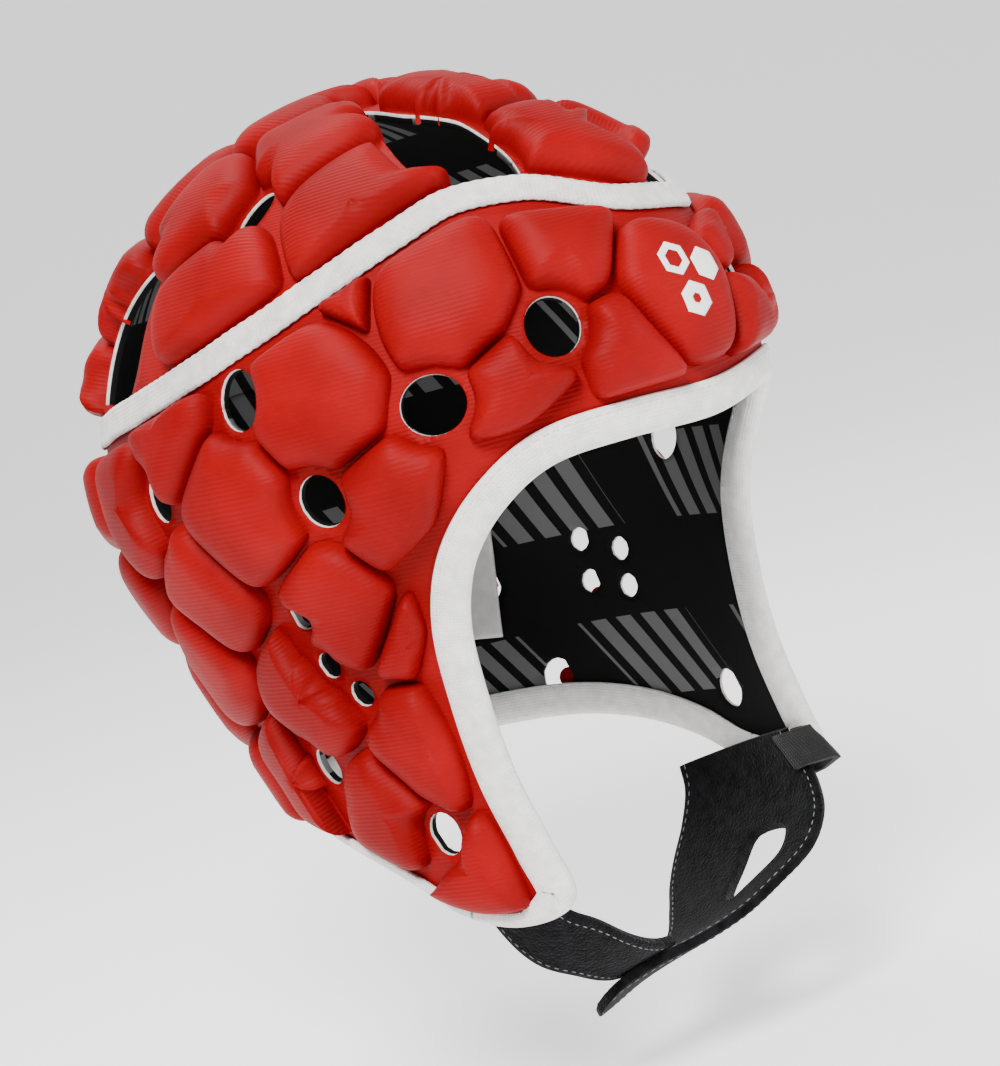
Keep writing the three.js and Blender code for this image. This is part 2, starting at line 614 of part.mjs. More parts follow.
// Binding: a strip folded round the lower edge, with the edge in its slot
function binding(places, outer) {
  const { width, wall, slot } = BINDING;
  const [over, under] = [LAMINATE + slot, -slot];
  const section = [
    [-outer, over],
    [slot, over],
    [slot, LAMINATE / 2],
    [slot, under],
    [-width, under],
    [-width, under - wall],
    [slot + wall / 2, under - wall],
    [slot + wall, LAMINATE / 2],
    [slot + wall / 2, over + wall],
    [-outer, over + wall],
  ];
  return loft(places.map((place) => {
    const point = besideRun(edgePlace, place);
    return section.map(([offset, height]) => point(offset, height)).reverse();
  }));
}
const faceStations = Array.from({ length: 2 * BINDING_ENDS + 1 }, (_, i) => stationPlace(i - BINDING_ENDS));
const neckStations = Array.from({ length: 2 * (STATIONS - BINDING_ENDS) + 1 }, (_, i) => {
  const place = stationPlace(i + BINDING_ENDS);
  const last = 2 * (STATIONS - BINDING_ENDS);
  const gap = 0.05;
  return place + (i === 0 ? gap : 0) - (i === last ? gap : 0);
});

// Chin straps, on a loop below the flaps' tips
const STRAP_STEPS = 1; // sections between two rows
function strapFrame(rows, angle, tuck) {
  const ordered = rows[0].angle < rows[rows.length - 1].angle ? rows : [...rows].reverse();
  const read = (column) => readTable(ordered, "angle", column, angle);
  const a = degToRad(angle);
  const tilt = degToRad(read("tilt"));
  const across = new THREE.Vector3(0, -Math.cos(tilt), Math.sin(tilt));
  const drop = STRAP.drop - tuck;
  const low = STRAP.top - drop * Math.sin(a) - read("low");
  const centre = new THREE.Vector3(STRAP.span * Math.cos(a), STRAP.middle, low);
  centre.addScaledVector(across, (STRAP.middle - read("y")) / Math.cos(tilt));
  const along = new THREE.Vector3(-STRAP.span * Math.sin(a), 0, -drop * Math.cos(a)).normalize();
  const normal = along.clone().cross(across).normalize();
  if (normal.dot(new THREE.Vector3(Math.cos(a), 0, -Math.sin(a))) < 0) normal.negate();
  return { centre, across, normal, width: read("width"), bow: read("bow") };
}
const SECTION = [-1, -0.5, 0, 0.5, 1];
function strapRing({ centre, across, normal, width, bow }) {
  const skin = (height, inset) =>
    SECTION.map((share) => {
      const point = centre.clone().addScaledVector(across, share * (width / 2 - inset));
      return point.addScaledVector(normal, height - bow * share * share);
    });
  return [...skin(STRAP.thick / 2, 0.8), ...skin(-STRAP.thick / 2, 0.8).reverse()];
}
function strap(rows, tuck, root) {
  const frames = [];
  rows.slice(0, -1).forEach((row, i) => {
    for (let k = 0; k < STRAP_STEPS; k++) frames.push(strapFrame(rows, lerp(row.angle, rows[i + 1].angle, k / STRAP_STEPS), tuck));
  });
  frames.push(strapFrame(rows, rows[rows.length - 1].angle, tuck));
  if (root > 0) frames.unshift({ ...frames[0], centre: frames[0].centre.clone().setZ(frames[0].centre.z + root) });
  const rings = frames.map(strapRing);
  return rows[0].angle < rows[1].angle ? loft(rings) : loft(rings.map((ring) => ring.reverse()));
}
function strapHole() {
  const points = STRAP_HOLE.map(({ angle, forward }) => {
    const { centre, across } = strapFrame(STRAP_FAR, angle, 0);
    return centre.addScaledVector(across, forward);
  });
  const origin = points.reduce((sum, point) => sum.add(point), new THREE.Vector3()).divideScalar(points.length);
  const { across, normal } = strapFrame(STRAP_FAR, 58, 0);
  const up = normal.clone().cross(across);
  const outline = points.map((point) => new THREE.Vector2(point.clone().sub(origin).dot(across), point.clone().sub(origin).dot(up)));
  return prism({ origin, across, up, normal }, THREE.ShapeUtils.area(outline) < 0 ? outline.reverse() : outline, 9, 9);
}

// Tab folded round the front edge of the left strap's root, its fold in front
function tab() {
  const grip = STRAP.thick / 2 + 3 * CLEAR;
  const { reach, wall } = TAB;
  const [back, fold] = [-TAB.grip, reach - 3];
  const section = [
    [back, grip],
    [1, grip],
    [fold, CLEAR],
    [fold, -CLEAR],
    [1, -grip],
    [back, -grip],
    [back, -grip - wall],
    [2, -grip - wall],
    [reach, -wall],
    [reach, wall],
    [2, grip + wall],
    [back, grip + wall],
  ];
  const rings = Array.from({ length: TAB.steps + 1 }, (_, i) => {
    const angle = lerp(TAB.from, TAB.to, i / TAB.steps);
    const { centre, across, normal, width, bow } = strapFrame(STRAP_FAR, angle, 0);
    const edge = centre.clone().addScaledVector(across, width / 2).addScaledVector(normal, -bow);
    const slope = Math.atan2(2 * bow, width / 2);
    const out = across.clone().multiplyScalar(Math.cos(slope)).addScaledVector(normal, -Math.sin(slope));
    const face = normal.clone().multiplyScalar(Math.cos(slope)).addScaledVector(across, Math.sin(slope));
    return section.map(([forward, height]) =>
      edge.clone().addScaledVector(out, forward).addScaledVector(face, height),
    );
  });
  return loft(rings.map((ring) => ring.reverse()));
}

// Label: a thin patch on the lining
function label() {
  const frame = frameAt(LABEL_PLACE.turn, LABEL_PLACE.fall);
  const lean = degToRad(LABEL_PLACE.lean);
  const steps = [-0.5, -0.25, 0, 0.25, 0.5];
  const rings = steps.map((down) => {
    const skin = (height) =>
      steps.map((over) => {
        const flat = new THREE.Vector2(over * LABEL.height, down * LABEL.width).rotateAround(new THREE.Vector2(), lean);
        const place = settle(frame.world(flat.x, flat.y), frame.normal, toChart(frame.turn, frame.fall));
        return atChart(...place, height);
      });
    return [...skin(-LABEL.off), ...skin(-LABEL.off - LABEL.thick).reverse()];
  });
  return loft(rings);
}

const FINISH = {
  knit: new THREE.MeshStandardMaterial({ color: 0xe3151c, roughness: 0.7, metalness: 0 }),
  tape: new THREE.MeshStandardMaterial({ color: 0xdedbd6, roughness: 0.85, metalness: 0 }),
  binding: new THREE.MeshStandardMaterial({ color: 0xe4e2de, roughness: 0.8, metalness: 0 }),
  fleece: new THREE.MeshStandardMaterial({ color: 0x121214, roughness: 0.95, metalness: 0 }),
  tab: new THREE.MeshStandardMaterial({ color: 0x17171a, roughness: 0.85, metalness: 0 }),
  label: new THREE.MeshStandardMaterial({ color: 0xd9d6d0, roughness: 0.6, metalness: 0 }),
};
const cap = new THREE.Group();
function add(name, solid, material) {
  const mesh = new THREE.Mesh(geometryOf(solid), material.clone());
  mesh.name = name;
  cap.add(mesh);
}
add("crown_panel", panel(crownLaminate(), mirrored(CROWN_PADS), false, crownOpenings), FINISH.knit);
add("side_panel", panel(sideLaminate(), [...mirrored(SIDE_PADS), ...MIDDLE_PADS], true, sideOpenings), FINISH.knit);
add("crown_tape", tape(), FINISH.tape);
add("face_binding", binding(faceStations, BINDING.width), FINISH.binding);
add("neck_binding", binding(neckStations, BINDING.neck), FINISH.binding);
add("strap_far", strap(STRAP_FAR, 0, 0).subtract(strapHole()), FINISH.fleece);
add("strap_near", strap(STRAP_NEAR, STRAP.thick + 2 * CLEAR, NEAR_ROOT), FINISH.fleece);
add("strap_tab", tab(), FINISH.tab);
add("care_label", label(), FINISH.label);

export default cap;
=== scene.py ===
# %% [markdown]
# A rugby scrum cap is a soft helmet: foam pads held between two knitted layers, cut open with vents and
# darts, bound at its edges and held on by a fleece strap. It could be sculpted by hand, or cloth could be
# draped over foam blocks. Here it is worked out from a few measurements that the CAD model shares, so both
# keep the same size and place.

import json
import math

import bpy
import numpy as np
from mathutils import Matrix, noise

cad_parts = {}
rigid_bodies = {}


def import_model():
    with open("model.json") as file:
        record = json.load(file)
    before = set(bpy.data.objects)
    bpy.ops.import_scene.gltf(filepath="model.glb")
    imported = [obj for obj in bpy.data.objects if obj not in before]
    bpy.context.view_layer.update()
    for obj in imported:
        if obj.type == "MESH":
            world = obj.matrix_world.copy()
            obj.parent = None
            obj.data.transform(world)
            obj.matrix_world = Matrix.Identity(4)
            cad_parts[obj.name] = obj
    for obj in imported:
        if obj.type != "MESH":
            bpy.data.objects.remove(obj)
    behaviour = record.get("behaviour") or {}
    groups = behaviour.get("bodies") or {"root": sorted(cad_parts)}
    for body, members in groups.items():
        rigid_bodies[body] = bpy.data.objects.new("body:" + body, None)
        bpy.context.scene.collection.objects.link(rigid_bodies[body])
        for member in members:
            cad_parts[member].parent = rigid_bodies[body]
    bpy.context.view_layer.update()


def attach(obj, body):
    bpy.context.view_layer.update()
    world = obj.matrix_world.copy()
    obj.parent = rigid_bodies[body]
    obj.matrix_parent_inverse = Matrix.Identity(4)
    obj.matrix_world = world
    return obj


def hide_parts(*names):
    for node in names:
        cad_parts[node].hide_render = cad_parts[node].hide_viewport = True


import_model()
MM = 0.001

# %% [markdown]
# The camera comes first, because every later look is compared with the photograph. It could be set by eye.
# Its place was worked out from the outline of the cap instead, which settles its turn, rise, roll and
# distance at once: it stands in front and to the right of the wearer, a little above, and is rolled.

# %% Camera
CAMERA = {"turn": -44.81, "rise": 6.98, "roll": 15.69, "away": 721.7, "left": -17.38, "up": 31.7}
CROWN = 85  # the camera was measured from the widest line, this far below the crown
PIXELS_PER_MM = 3.6
turn, rise, roll = (math.radians(CAMERA[key]) for key in ("turn", "rise", "roll"))
back = np.array([math.sin(turn) * math.cos(rise), -math.cos(turn) * math.cos(rise), math.sin(rise)])
right = np.array([math.cos(turn), math.sin(turn), 0])
level = np.array([right, np.cross(back, right), back])
tip = np.array([[math.cos(roll), -math.sin(roll), 0], [math.sin(roll), math.cos(roll), 0], [0, 0, 1]])
rows = tip @ level
place = rows.T @ np.array([-CAMERA["left"], -CAMERA["up"], CAMERA["away"]]) - np.array([0, 0, CROWN])

camera_data = bpy.data.cameras.new("camera")
camera = bpy.data.objects.new("camera", camera_data)
bpy.context.scene.collection.objects.link(camera)
camera_data.sensor_fit = "VERTICAL"
camera_data.sensor_height = 36
camera_data.lens = PIXELS_PER_MM * CAMERA["away"] / 1066 * camera_data.sensor_height
camera_data.clip_end = 50
matrix = Matrix.Identity(4)
for column in range(3):
    for row in range(3):
        matrix[row][column] = rows[column][row]
    matrix[column][3] = place[column] * MM
camera.matrix_world = matrix
bpy.context.scene.camera = camera
print("lens", round(camera_data.lens, 1))

# %% [markdown]
# The body of the cap is told by turn, the degrees round from the middle of the forehead towards the
# wearer's left, and fall, which is 0 at the top of the crown and 90 at the widest line. A sculpt could hold
# this shape too, but short tables are easier to read and to change. They give how the sides draw in below
# the widest line, where the seam runs, and where the lower edge lies.

# %% Sizes and tables of the body
HEAD = {"half_width": 77.5, "front": 96, "back": 105, "dome": 85}
SKIRT, JAW_FORWARD = 144, 34
LAMINATE, PAD, CHANNEL = 2.6, 7.2, 1.0
TAPE = {"width": 8.6, "thick": 1.4}
BINDING = {"width": 7.4, "neck": 2.2, "wall": 1.2, "slot": 1.0}
CLEAR = 0.3
TAPER = [(0, 1, 1), (0.31, 0.88, 0.91), (0.62, 0.8, 0.78), (0.94, 0.77, 0.7)]  # depth, width, back
SEAM = [  # turn, fall
    (0, 57), (20, 51.5), (36, 50.5), (50, 54.5), (76, 63.5), (106, 72), (140, 77), (180, 78),
]
RIBS = [  # seam turn, edge turn, edge fall
    (0, 0, 96.5), (14, 20, 95.5), (24, 34, 96), (33, 44, 100.5), (41, 52, 108), (48, 57.5, 118),
    (54, 60.5, 130), (60, 63, 144), (66, 63.5, 156), (72, 65, 165), (79, 77, 167.5), (87, 89, 165.5),
    (97, 98, 160), (108, 109, 155.5), (122, 123, 152.5), (140, 141, 151), (160, 160, 150.5),
    (180, 180, 150.5),
]
LAST_RIB = len(RIBS) - 1


def hermite(f, start, end, leave, arrive):
    return ((2 * f**3 - 3 * f**2 + 1) * start + (f**3 - 2 * f**2 + f) * leave
            + (3 * f**2 - 2 * f**3) * end + (f**3 - f**2) * arrive)


def read_table(table, x):
    """Values of a table's other columns at x, level at both ends."""
    table = np.array(table, float)
    keys, values = table[:, 0], table[:, 1:]
    x = np.asarray(x, float)
    i = np.clip(np.searchsorted(keys, x) - 1, 0, len(keys) - 2)
    slope = np.zeros_like(values)
    slope[1:-1] = (values[2:] - values[:-2]) / (keys[2:] - keys[:-2])[:, None]
    span = (keys[i + 1] - keys[i])[..., None]
    f = np.clip((x[..., None] - keys[i][..., None]) / span, 0, 1)
    return hermite(f, values[i], values[i + 1], slope[i] * span, slope[i + 1] * span)


print("tables", len(TAPER), len(SEAM), len(RIBS))

# %% [markdown]
# The cap's cloth, pads and trims all follow one smooth surface. A sphere's own coordinates would pinch at
# its pole, right where the crown's pads lie. An unrolled chart with the crown's top in its middle avoids
# that: each place on it has a point on the lining and a direction out of it, and every piece is that
# surface at another height.

# %% The surface


def lining(turn, fall):
    around, dome = np.radians(turn), np.radians(np.minimum(fall, 90))
    depth = np.maximum(fall - 90, 0) / 90
    share = read_table(TAPER, depth)
    length = np.where(np.cos(around) > 0, HEAD["front"] * share[..., 0], HEAD["back"] * share[..., 1])
    return np.stack([
        HEAD["half_width"] * share[..., 0] * np.sin(dome) * np.sin(around),
        -length * np.sin(dome) * np.cos(around) - JAW_FORWARD * depth**2,
        HEAD["dome"] * (np.cos(dome) - 1) - SKIRT * depth,
    ], -1)


def to_chart(turn, fall):
    turn, fall = np.broadcast_arrays(np.asarray(turn, float), np.asarray(fall, float))
    return np.stack([fall * np.sin(np.radians(turn)), -fall * np.cos(np.radians(turn))], -1)


def from_chart(chart):
    return np.degrees(np.arctan2(chart[..., 0], -chart[..., 1])), np.hypot(chart[..., 0], chart[..., 1])


STEP = 0.25


def chart_lining(chart):
    return lining(*from_chart(chart))


def unit(vector):
    return vector / np.linalg.norm(vector, axis=-1, keepdims=True)


def outward(chart):
    u, w = np.array([STEP, 0]), np.array([0, STEP])
    return unit(np.cross(chart_lining(chart + u) - chart_lining(chart - u),
                         chart_lining(chart + w) - chart_lining(chart - w)))


def at_chart(chart, height):
    return chart_lining(chart) + outward(chart) * np.asarray(height, float)[..., None]


def at(turn, fall, height):
    chart = to_chart(turn, fall)
    return at_chart(chart, np.broadcast_to(height, chart.shape[:-1]))


def settle(target, direction, start):
    """Chart places of the skin's points straight below some targets."""
    chart = np.broadcast_to(start, target.shape[:-1] + (2,)).astype(float).copy()
    direction = np.broadcast_to(direction, target.shape)
    skin = np.full(chart.shape[:-1], LAMINATE)
    for _ in range(4):
        here = at_chart(chart, skin)
        along_u = (at_chart(chart + [STEP, 0], skin) - here) / STEP
        along_w = (at_chart(chart + [0, STEP], skin) - here) / STEP
        move = np.linalg.solve(np.stack([along_u, along_w, direction], -1), (target - here)[..., None])
        chart += move[..., :2, 0]
    return chart


print("girth of the lining", round(sum(np.linalg.norm(
    lining(t + 1.0, 90.0) - lining(t, 90.0)) for t in np.arange(0.0, 360.0))), "mm")

# %% [markdown]
# The side panel hangs between two curves, the seam and the lower edge. They could be drawn as Bezier curves
# and projected. Here ribs join the two, and a smooth run through the ribs gives both curves at any place
# round the cap, so whatever is sewn along an edge asks for its spot by one number. Place 0 is the middle of
# the brow.

# %% Seam and lower edge


def rib(place):
    place = np.asarray(place, float)
    place = np.where(place > LAST_RIB, place - 2 * LAST_RIB, place)
    side, along = np.where(place < 0, -1, 1), np.abs(place)
    table = np.array(RIBS, float)
    before = table[1] * [-1, -1, 1]
    after = table[-2] * [-1, -1, 1] + [360, 360, 0]
    table = np.vstack([before, table, after])
    i = np.minimum(along.astype(int), LAST_RIB - 1) + 1
    leave = (table[i + 1] - table[i - 1]) / 2
    arrive = (table[np.minimum(i + 2, len(table) - 1)] - table[i]) / 2
    value = hermite((along - i + 1)[..., None], table[i], table[i + 1], leave, arrive)
    return side * value[..., 0], side * value[..., 1], value[..., 2]


DIP = {"turn": 28, "fall": 55, "spread_turn": 20, "spread_fall": 14, "down": 12}


def dipped(turn, fall):
    """The seam, and what lies beside it, dips over the left of the brow."""
    aside = (turn - DIP["turn"]) / DIP["spread_turn"]
    below = (fall - DIP["fall"]) / DIP["spread_fall"]
    away = aside**2 + below**2
    return fall + DIP["down"] * np.exp(-away)


def seam_fall(turn):
    return dipped(turn, read_table(SEAM, np.abs(turn))[..., 0])


def seam_place(place):
    seam = rib(place)[0]
    return seam, seam_fall(seam)


def edge_place(place):
    _, turn, fall = rib(place)
    return turn, fall


def beside_run(place_of, place, offset, height):
    """Points beside a run on the skin: offset down or out from it, at a height above the lining."""
    origin = at(*place_of(place), LAMINATE)
    along = unit(at(*place_of(place + 0.04), LAMINATE) - at(*place_of(place - 0.04), LAMINATE))
    chart = to_chart(*place_of(place))
    normal = outward(chart)
    down = unit(np.cross(along, normal))
    spot = settle(origin + down * np.asarray(offset, float)[..., None], normal, chart)
    return at_chart(spot, np.broadcast_to(height, spot.shape[:-1]))


print("fall of the seam at brow and nape", seam_fall(np.array([0.0, 180.0])).round(1))

# %% [markdown]
# The real panels are punched: round vents, small holes at the ears, and four open darts that let the crown
# draw in. A Boolean would cut them but leave ragged triangles on the cloth. Outlines on the chart let the
# cloth's own squares follow each cut. A dart's outline has straight sides and small rounded corners.

# %% Openings
VENTS = [  # right turn and fall, left turn and fall, width, height
    (27.5, 76.5, 27.5, 76.5, 14, 15.5), (50, 83.5, 50, 83.5, 17, 15), (83, 75, 83, 75, 13, 16),
    (72, 94, 81, 106, 13, 14), (107, 89, 107, 89, 11, 13), (82.5, 152, 84, 153, 10, 12),
    (103.5, 139, 124, 146, 10, 11), (149, 106, 130, 127, 12, 12),
]
LEAF_VENT = {"turn": 82, "fall": 40.5, "width": 7, "height": 15, "lean": 28}
EAR_HOLE = 7.4
# Each place of a hole or a corner is its turn and its fall
EAR_HOLES = [(-87, 112), (-87, 121), (-83, 126.5), (106, 122), (98, 125), (107, 130), (99, 132)]
FRONT_DART = [(60, 7), (28, 21), (14.5, 30), (15, 44), (19, 58), (31, 58), (41, 39.5)]
BACK_DART = [(111, 44), (128, 51), (137, 58), (138, 66), (133, 84), (118, 82), (111, 66)]
ROUND_STEPS = 56


def frame_at(turn, fall):
    origin = at(turn, fall, LAMINATE)
    normal = outward(to_chart(turn, fall))
    across = at(turn + 1, fall, LAMINATE) - origin
    across = unit(across - normal * across.dot(normal))
    return {"turn": turn, "fall": fall, "origin": origin, "normal": normal, "across": across,
            "up": np.cross(normal, across), "chart": to_chart(turn, fall)}


def to_local(frame_, points):
    away = points - frame_["origin"]
    return np.stack([away @ frame_["across"], away @ frame_["up"]], -1)


def to_world(frame_, flat):
    return frame_["origin"] + flat[..., :1] * frame_["across"] + flat[..., 1:2] * frame_["up"]


def vent_outline(turn, fall, width, height, lean=0.0):
    frame_ = frame_at(turn, fall)
    angle = np.linspace(0, 2 * np.pi, ROUND_STEPS, endpoint=False)
    x, y = np.cos(angle) * width / 2, np.sin(angle) * height / 2
    lean = math.radians(lean) * np.sign(turn)
    flat = np.stack([x * math.cos(lean) - y * math.sin(lean), x * math.sin(lean) + y * math.cos(lean)], -1)
    return settle(to_world(frame_, flat), frame_["normal"], frame_["chart"])


def dart_outline(corners, side, rounding=0.16):
    """Straight sides with small rounded corners, on the chart."""
    places = [(side * turn, dipped(side * turn, fall)) for turn, fall in corners]
    chart = to_chart(*np.array(places, float).T)
    points = []
    for i, corner in enumerate(chart):
        before, after = chart[i - 1], chart[(i + 1) % len(chart)]
        start, end = corner + (before - corner) * rounding, corner + (after - corner) * rounding
        for f in np.linspace(0, 1, 7):
            points.append((1 - f) ** 2 * start + 2 * f * (1 - f) * corner + f**2 * end)
    points = np.array(points)
    dense = [points[i] + (points[(i + 1) % len(points)] - points[i]) * f
             for i in range(len(points)) for f in (0, 0.5)]
    return np.array(dense)


side_openings = []
for right_turn, right_fall, left_turn, left_fall, width, height in VENTS:
    side_openings.append(vent_outline(-right_turn, right_fall, width, height))
    side_openings.append(vent_outline(left_turn, left_fall, width, height))
side_openings += [vent_outline(turn, fall, EAR_HOLE, EAR_HOLE) for turn, fall in EAR_HOLES]
crown_openings = [dart_outline(corners, side) for corners in (FRONT_DART, BACK_DART) for side in (-1, 1)]
for side in (-1, 1):
    crown_openings.append(vent_outline(side * LEAF_VENT["turn"], LEAF_VENT["fall"], LEAF_VENT["width"],
                                       LEAF_VENT["height"], LEAF_VENT["lean"]))
print(len(side_openings), "openings in the side panel,", len(crown_openings), "in the crown")

# %% [markdown]
# A punched hole in cloth has a clean edge. A Boolean on a thick mesh could cut it, but it leaves slivers
# that shade badly. Here a grid of chart places is cut before it is lifted: squares inside an opening are
# dropped, and the corners left along it move onto its outline.

# %% Cutting a grid


def inside_and_nearest(points, outline):
    """Whether each point is inside a closed outline, and the outline's point nearest to it."""
    start, end = outline, np.roll(outline, -1, 0)
    edge = end - start
    away = points[:, None] - start
    share = np.clip((away * edge).sum(-1) / (edge**2).sum(-1), 0, 1)
    foot = start + share[..., None] * edge
    nearest = ((points[:, None] - foot) ** 2).sum(-1).argmin(1)
    crosses = (start[:, 1] > points[:, None, 1]) != (end[:, 1] > points[:, None, 1])
    with np.errstate(divide="ignore", invalid="ignore"):
        where = start[:, 0] + (points[:, None, 1] - start[:, 1]) * edge[:, 0] / edge[:, 1]
    inside = (crosses & (points[:, None, 0] < where)).sum(1) % 2 == 1
    return inside, foot[np.arange(len(points)), nearest]


def cut_grid(places, faces, outlines, margin=6.0):
    """Drops the squares inside the outlines, and moves the corners along the cuts onto them."""
    places, faces = places.copy(), faces.copy()
    for outline in outlines:
        low, high = outline.min(0) - margin, outline.max(0) + margin
        near = np.where(((places > low) & (places < high)).all(1))[0]
        if not len(near):
            continue
        inside, foot = inside_and_nearest(places[near], outline)
        gap = np.zeros(len(places))
        gap[near] = np.linalg.norm(places[near] - foot, axis=1) * np.where(inside, -1, 1)
        touched = np.isin(faces, near).all(1)
        drop = touched & (gap[faces].mean(1) < 0)
        kept = ~drop
        move = np.zeros(len(places), bool)
        move[np.intersect1d(faces[drop], faces[kept])] = True
        left = np.zeros(len(places), bool)
        left[faces[kept]] = True
        inner = np.zeros(len(places), bool)
        inner[near] = inside
        move |= left & inner
        chosen = move[near]
        places[near[chosen]] = foot[chosen]
        faces = faces[kept]
    return places, faces


def border_edges(faces):
    """Edges that only one face has, each in that face's own direction."""
    count = faces.shape[1]
    edges = np.concatenate([faces[:, [i, (i + 1) % count]] for i in range(count)])
    edges = edges[edges[:, 0] != edges[:, 1]]
    known = set(map(tuple, edges))
    return np.array([edge for edge in known if (edge[1], edge[0]) not in known])


print("the first vent is", np.ptp(side_openings[0], 0).round(1), "mm across and down the chart")

# %% [markdown]
# Every piece is cloth that runs some way, and its knit or weave has to follow. Unwrapping could give the
# coordinates for that, but here they are known already. So one function turns points in millimetres into a
# smooth mesh in metres, and stores each point's place on the cloth.

# %% Mesh objects
def make_object(name, points, faces, slots, materials, coords=None):
    """A smooth mesh object from points in millimetres. coords gives each point's place on the cloth."""
    mesh = bpy.data.meshes.new(name)
    corners = [tuple(dict.fromkeys(map(int, face))) for face in faces]
    mesh.from_pydata((np.asarray(points) * MM).tolist(), [], corners)
    for material in materials:
        mesh.materials.append(material)
    mesh.polygons.foreach_set("material_index", np.asarray(slots, np.int32))
    mesh.polygons.foreach_set("use_smooth", np.full(len(mesh.polygons), True))
    if coords is not None:
        corner = np.empty(len(mesh.loops), np.int32)
        mesh.loops.foreach_get("vertex_index", corner)
        uv = np.asarray(coords, float)[corner]
        starts = np.empty(len(mesh.polygons), np.int32)
        mesh.polygons.foreach_get("loop_start", starts)
        totals = np.empty(len(mesh.polygons), np.int32)
        mesh.polygons.foreach_get("loop_total", totals)
        first = np.repeat(uv[starts, 0], totals)
        uv[:, 0] += WRAP * np.round((first - uv[:, 0]) / WRAP)
        mesh.uv_layers.new(name="cloth").data.foreach_set("uv", (uv * MM).ravel())
    mesh.update()
    obj = bpy.data.objects.new(name, mesh)
    bpy.context.scene.collection.objects.link(obj)
    return obj


AROUND_MM, DOWN_MM = 1.5, 1.55  # lengths on the cloth for each degree of turn and of fall
WRAP = 360 * AROUND_MM


def cloth_place(chart):
    turn, fall = from_chart(chart)
    return np.stack([turn * AROUND_MM, fall * DOWN_MM], -1)


print("cloth round the cap", WRAP, "mm")

# %% [markdown]
# A panel's two knitted layers are one closed shell with thin foam between them. Solidify could thicken a
# sheet, but the cut edge needs a finish of its own. So the cut grid is lifted twice, as outer cloth and as
# lining, and walls join the two all round.

# %% Two layers
OUTER, LINING, CUT_EDGE = 0, 1, 2


def shell(places, faces):
    """Points, faces, finish of each face and place on the cloth of a laminate with cut edges."""
    count = len(places)
    lip = LAMINATE - 0.9
    height = [np.full(count, value) for value in (LAMINATE, 0.0, lip)]
    points = np.concatenate([at_chart(places, h) for h in height])
    edges = border_edges(faces)
    upper = np.stack([edges[:, 1], edges[:, 0], edges[:, 0] + 2 * count, edges[:, 1] + 2 * count], 1)
    lower = np.stack([edges[:, 1] + 2 * count, edges[:, 0] + 2 * count, edges[:, 0] + count,
                      edges[:, 1] + count], 1)
    all_faces = np.concatenate([faces, faces[:, ::-1] + count, upper, lower])
    slots = np.repeat([OUTER, LINING, CUT_EDGE, LINING], [len(faces), len(faces), len(upper), len(lower)])
    return points, all_faces, slots, np.tile(cloth_place(places), (3, 1))


def grid_faces(rows, columns):
    """Squares of a grid whose columns close into a ring, facing outwards."""
    r, c = np.meshgrid(np.arange(rows - 1), np.arange(columns), indexing="ij")
    a, b = r * columns + c, r * columns + (c + 1) % columns
    return np.stack([a, a + columns, b + columns, b], -1).reshape(-1, 4)


print("a ring of 3 rows and 4 columns has", len(grid_faces(3, 4)), "squares")

# %% [markdown]
# The crown and the side panel meet under the tape. One sheet could cover both, but the real cap is sewn
# from two, and a hair's gap between them shows it from inside. Each grid runs round in columns that follow
# the ribs, and the crown's closes in one point on top.

# %% Grids of the two panels
COLUMNS = 380
SIDE_ROWS, CROWN_ROWS = 68, 48
SEAM_GAP = 0.12
ring_places = (np.arange(COLUMNS) / COLUMNS - 0.5) * 2 * LAST_RIB

seam_turn, edge_turn, edge_fall = rib(ring_places)
share = np.linspace(0, 1, SIDE_ROWS)[:, None]
side_turn = seam_turn + (edge_turn - seam_turn) * share
side_fall = (seam_fall(seam_turn) + SEAM_GAP) * (1 - share) + edge_fall * share
side_grid = to_chart(side_turn, side_fall).reshape(-1, 2)
side_places, side_faces = cut_grid(side_grid, grid_faces(SIDE_ROWS, COLUMNS), side_openings)

share = np.linspace(0.02, 1, CROWN_ROWS)[:, None]
crown_grid = to_chart(np.broadcast_to(seam_turn, (CROWN_ROWS, COLUMNS)),
                      (seam_fall(seam_turn) - SEAM_GAP) * share).reshape(-1, 2)
crown_faces = grid_faces(CROWN_ROWS, COLUMNS)
crown_grid = np.vstack([crown_grid, [[0, 0]]])
cap_faces = np.stack([np.full(COLUMNS, len(crown_grid) - 1), np.arange(COLUMNS),
                      (np.arange(COLUMNS) + 1) % COLUMNS, (np.arange(COLUMNS) + 1) % COLUMNS], 1)
crown_places, crown_faces = cut_grid(crown_grid, np.vstack([crown_faces, cap_faces]), crown_openings)
print("squares", len(side_faces), len(crown_faces))

# %% [markdown]
# A pad is a piece of foam pressed into the cloth. Each could be modelled by hand. Instead each one is only
# a middle and a size to grow by, told for the right half and mirrored to the left, where this soft cap sags
# a little round the ear.

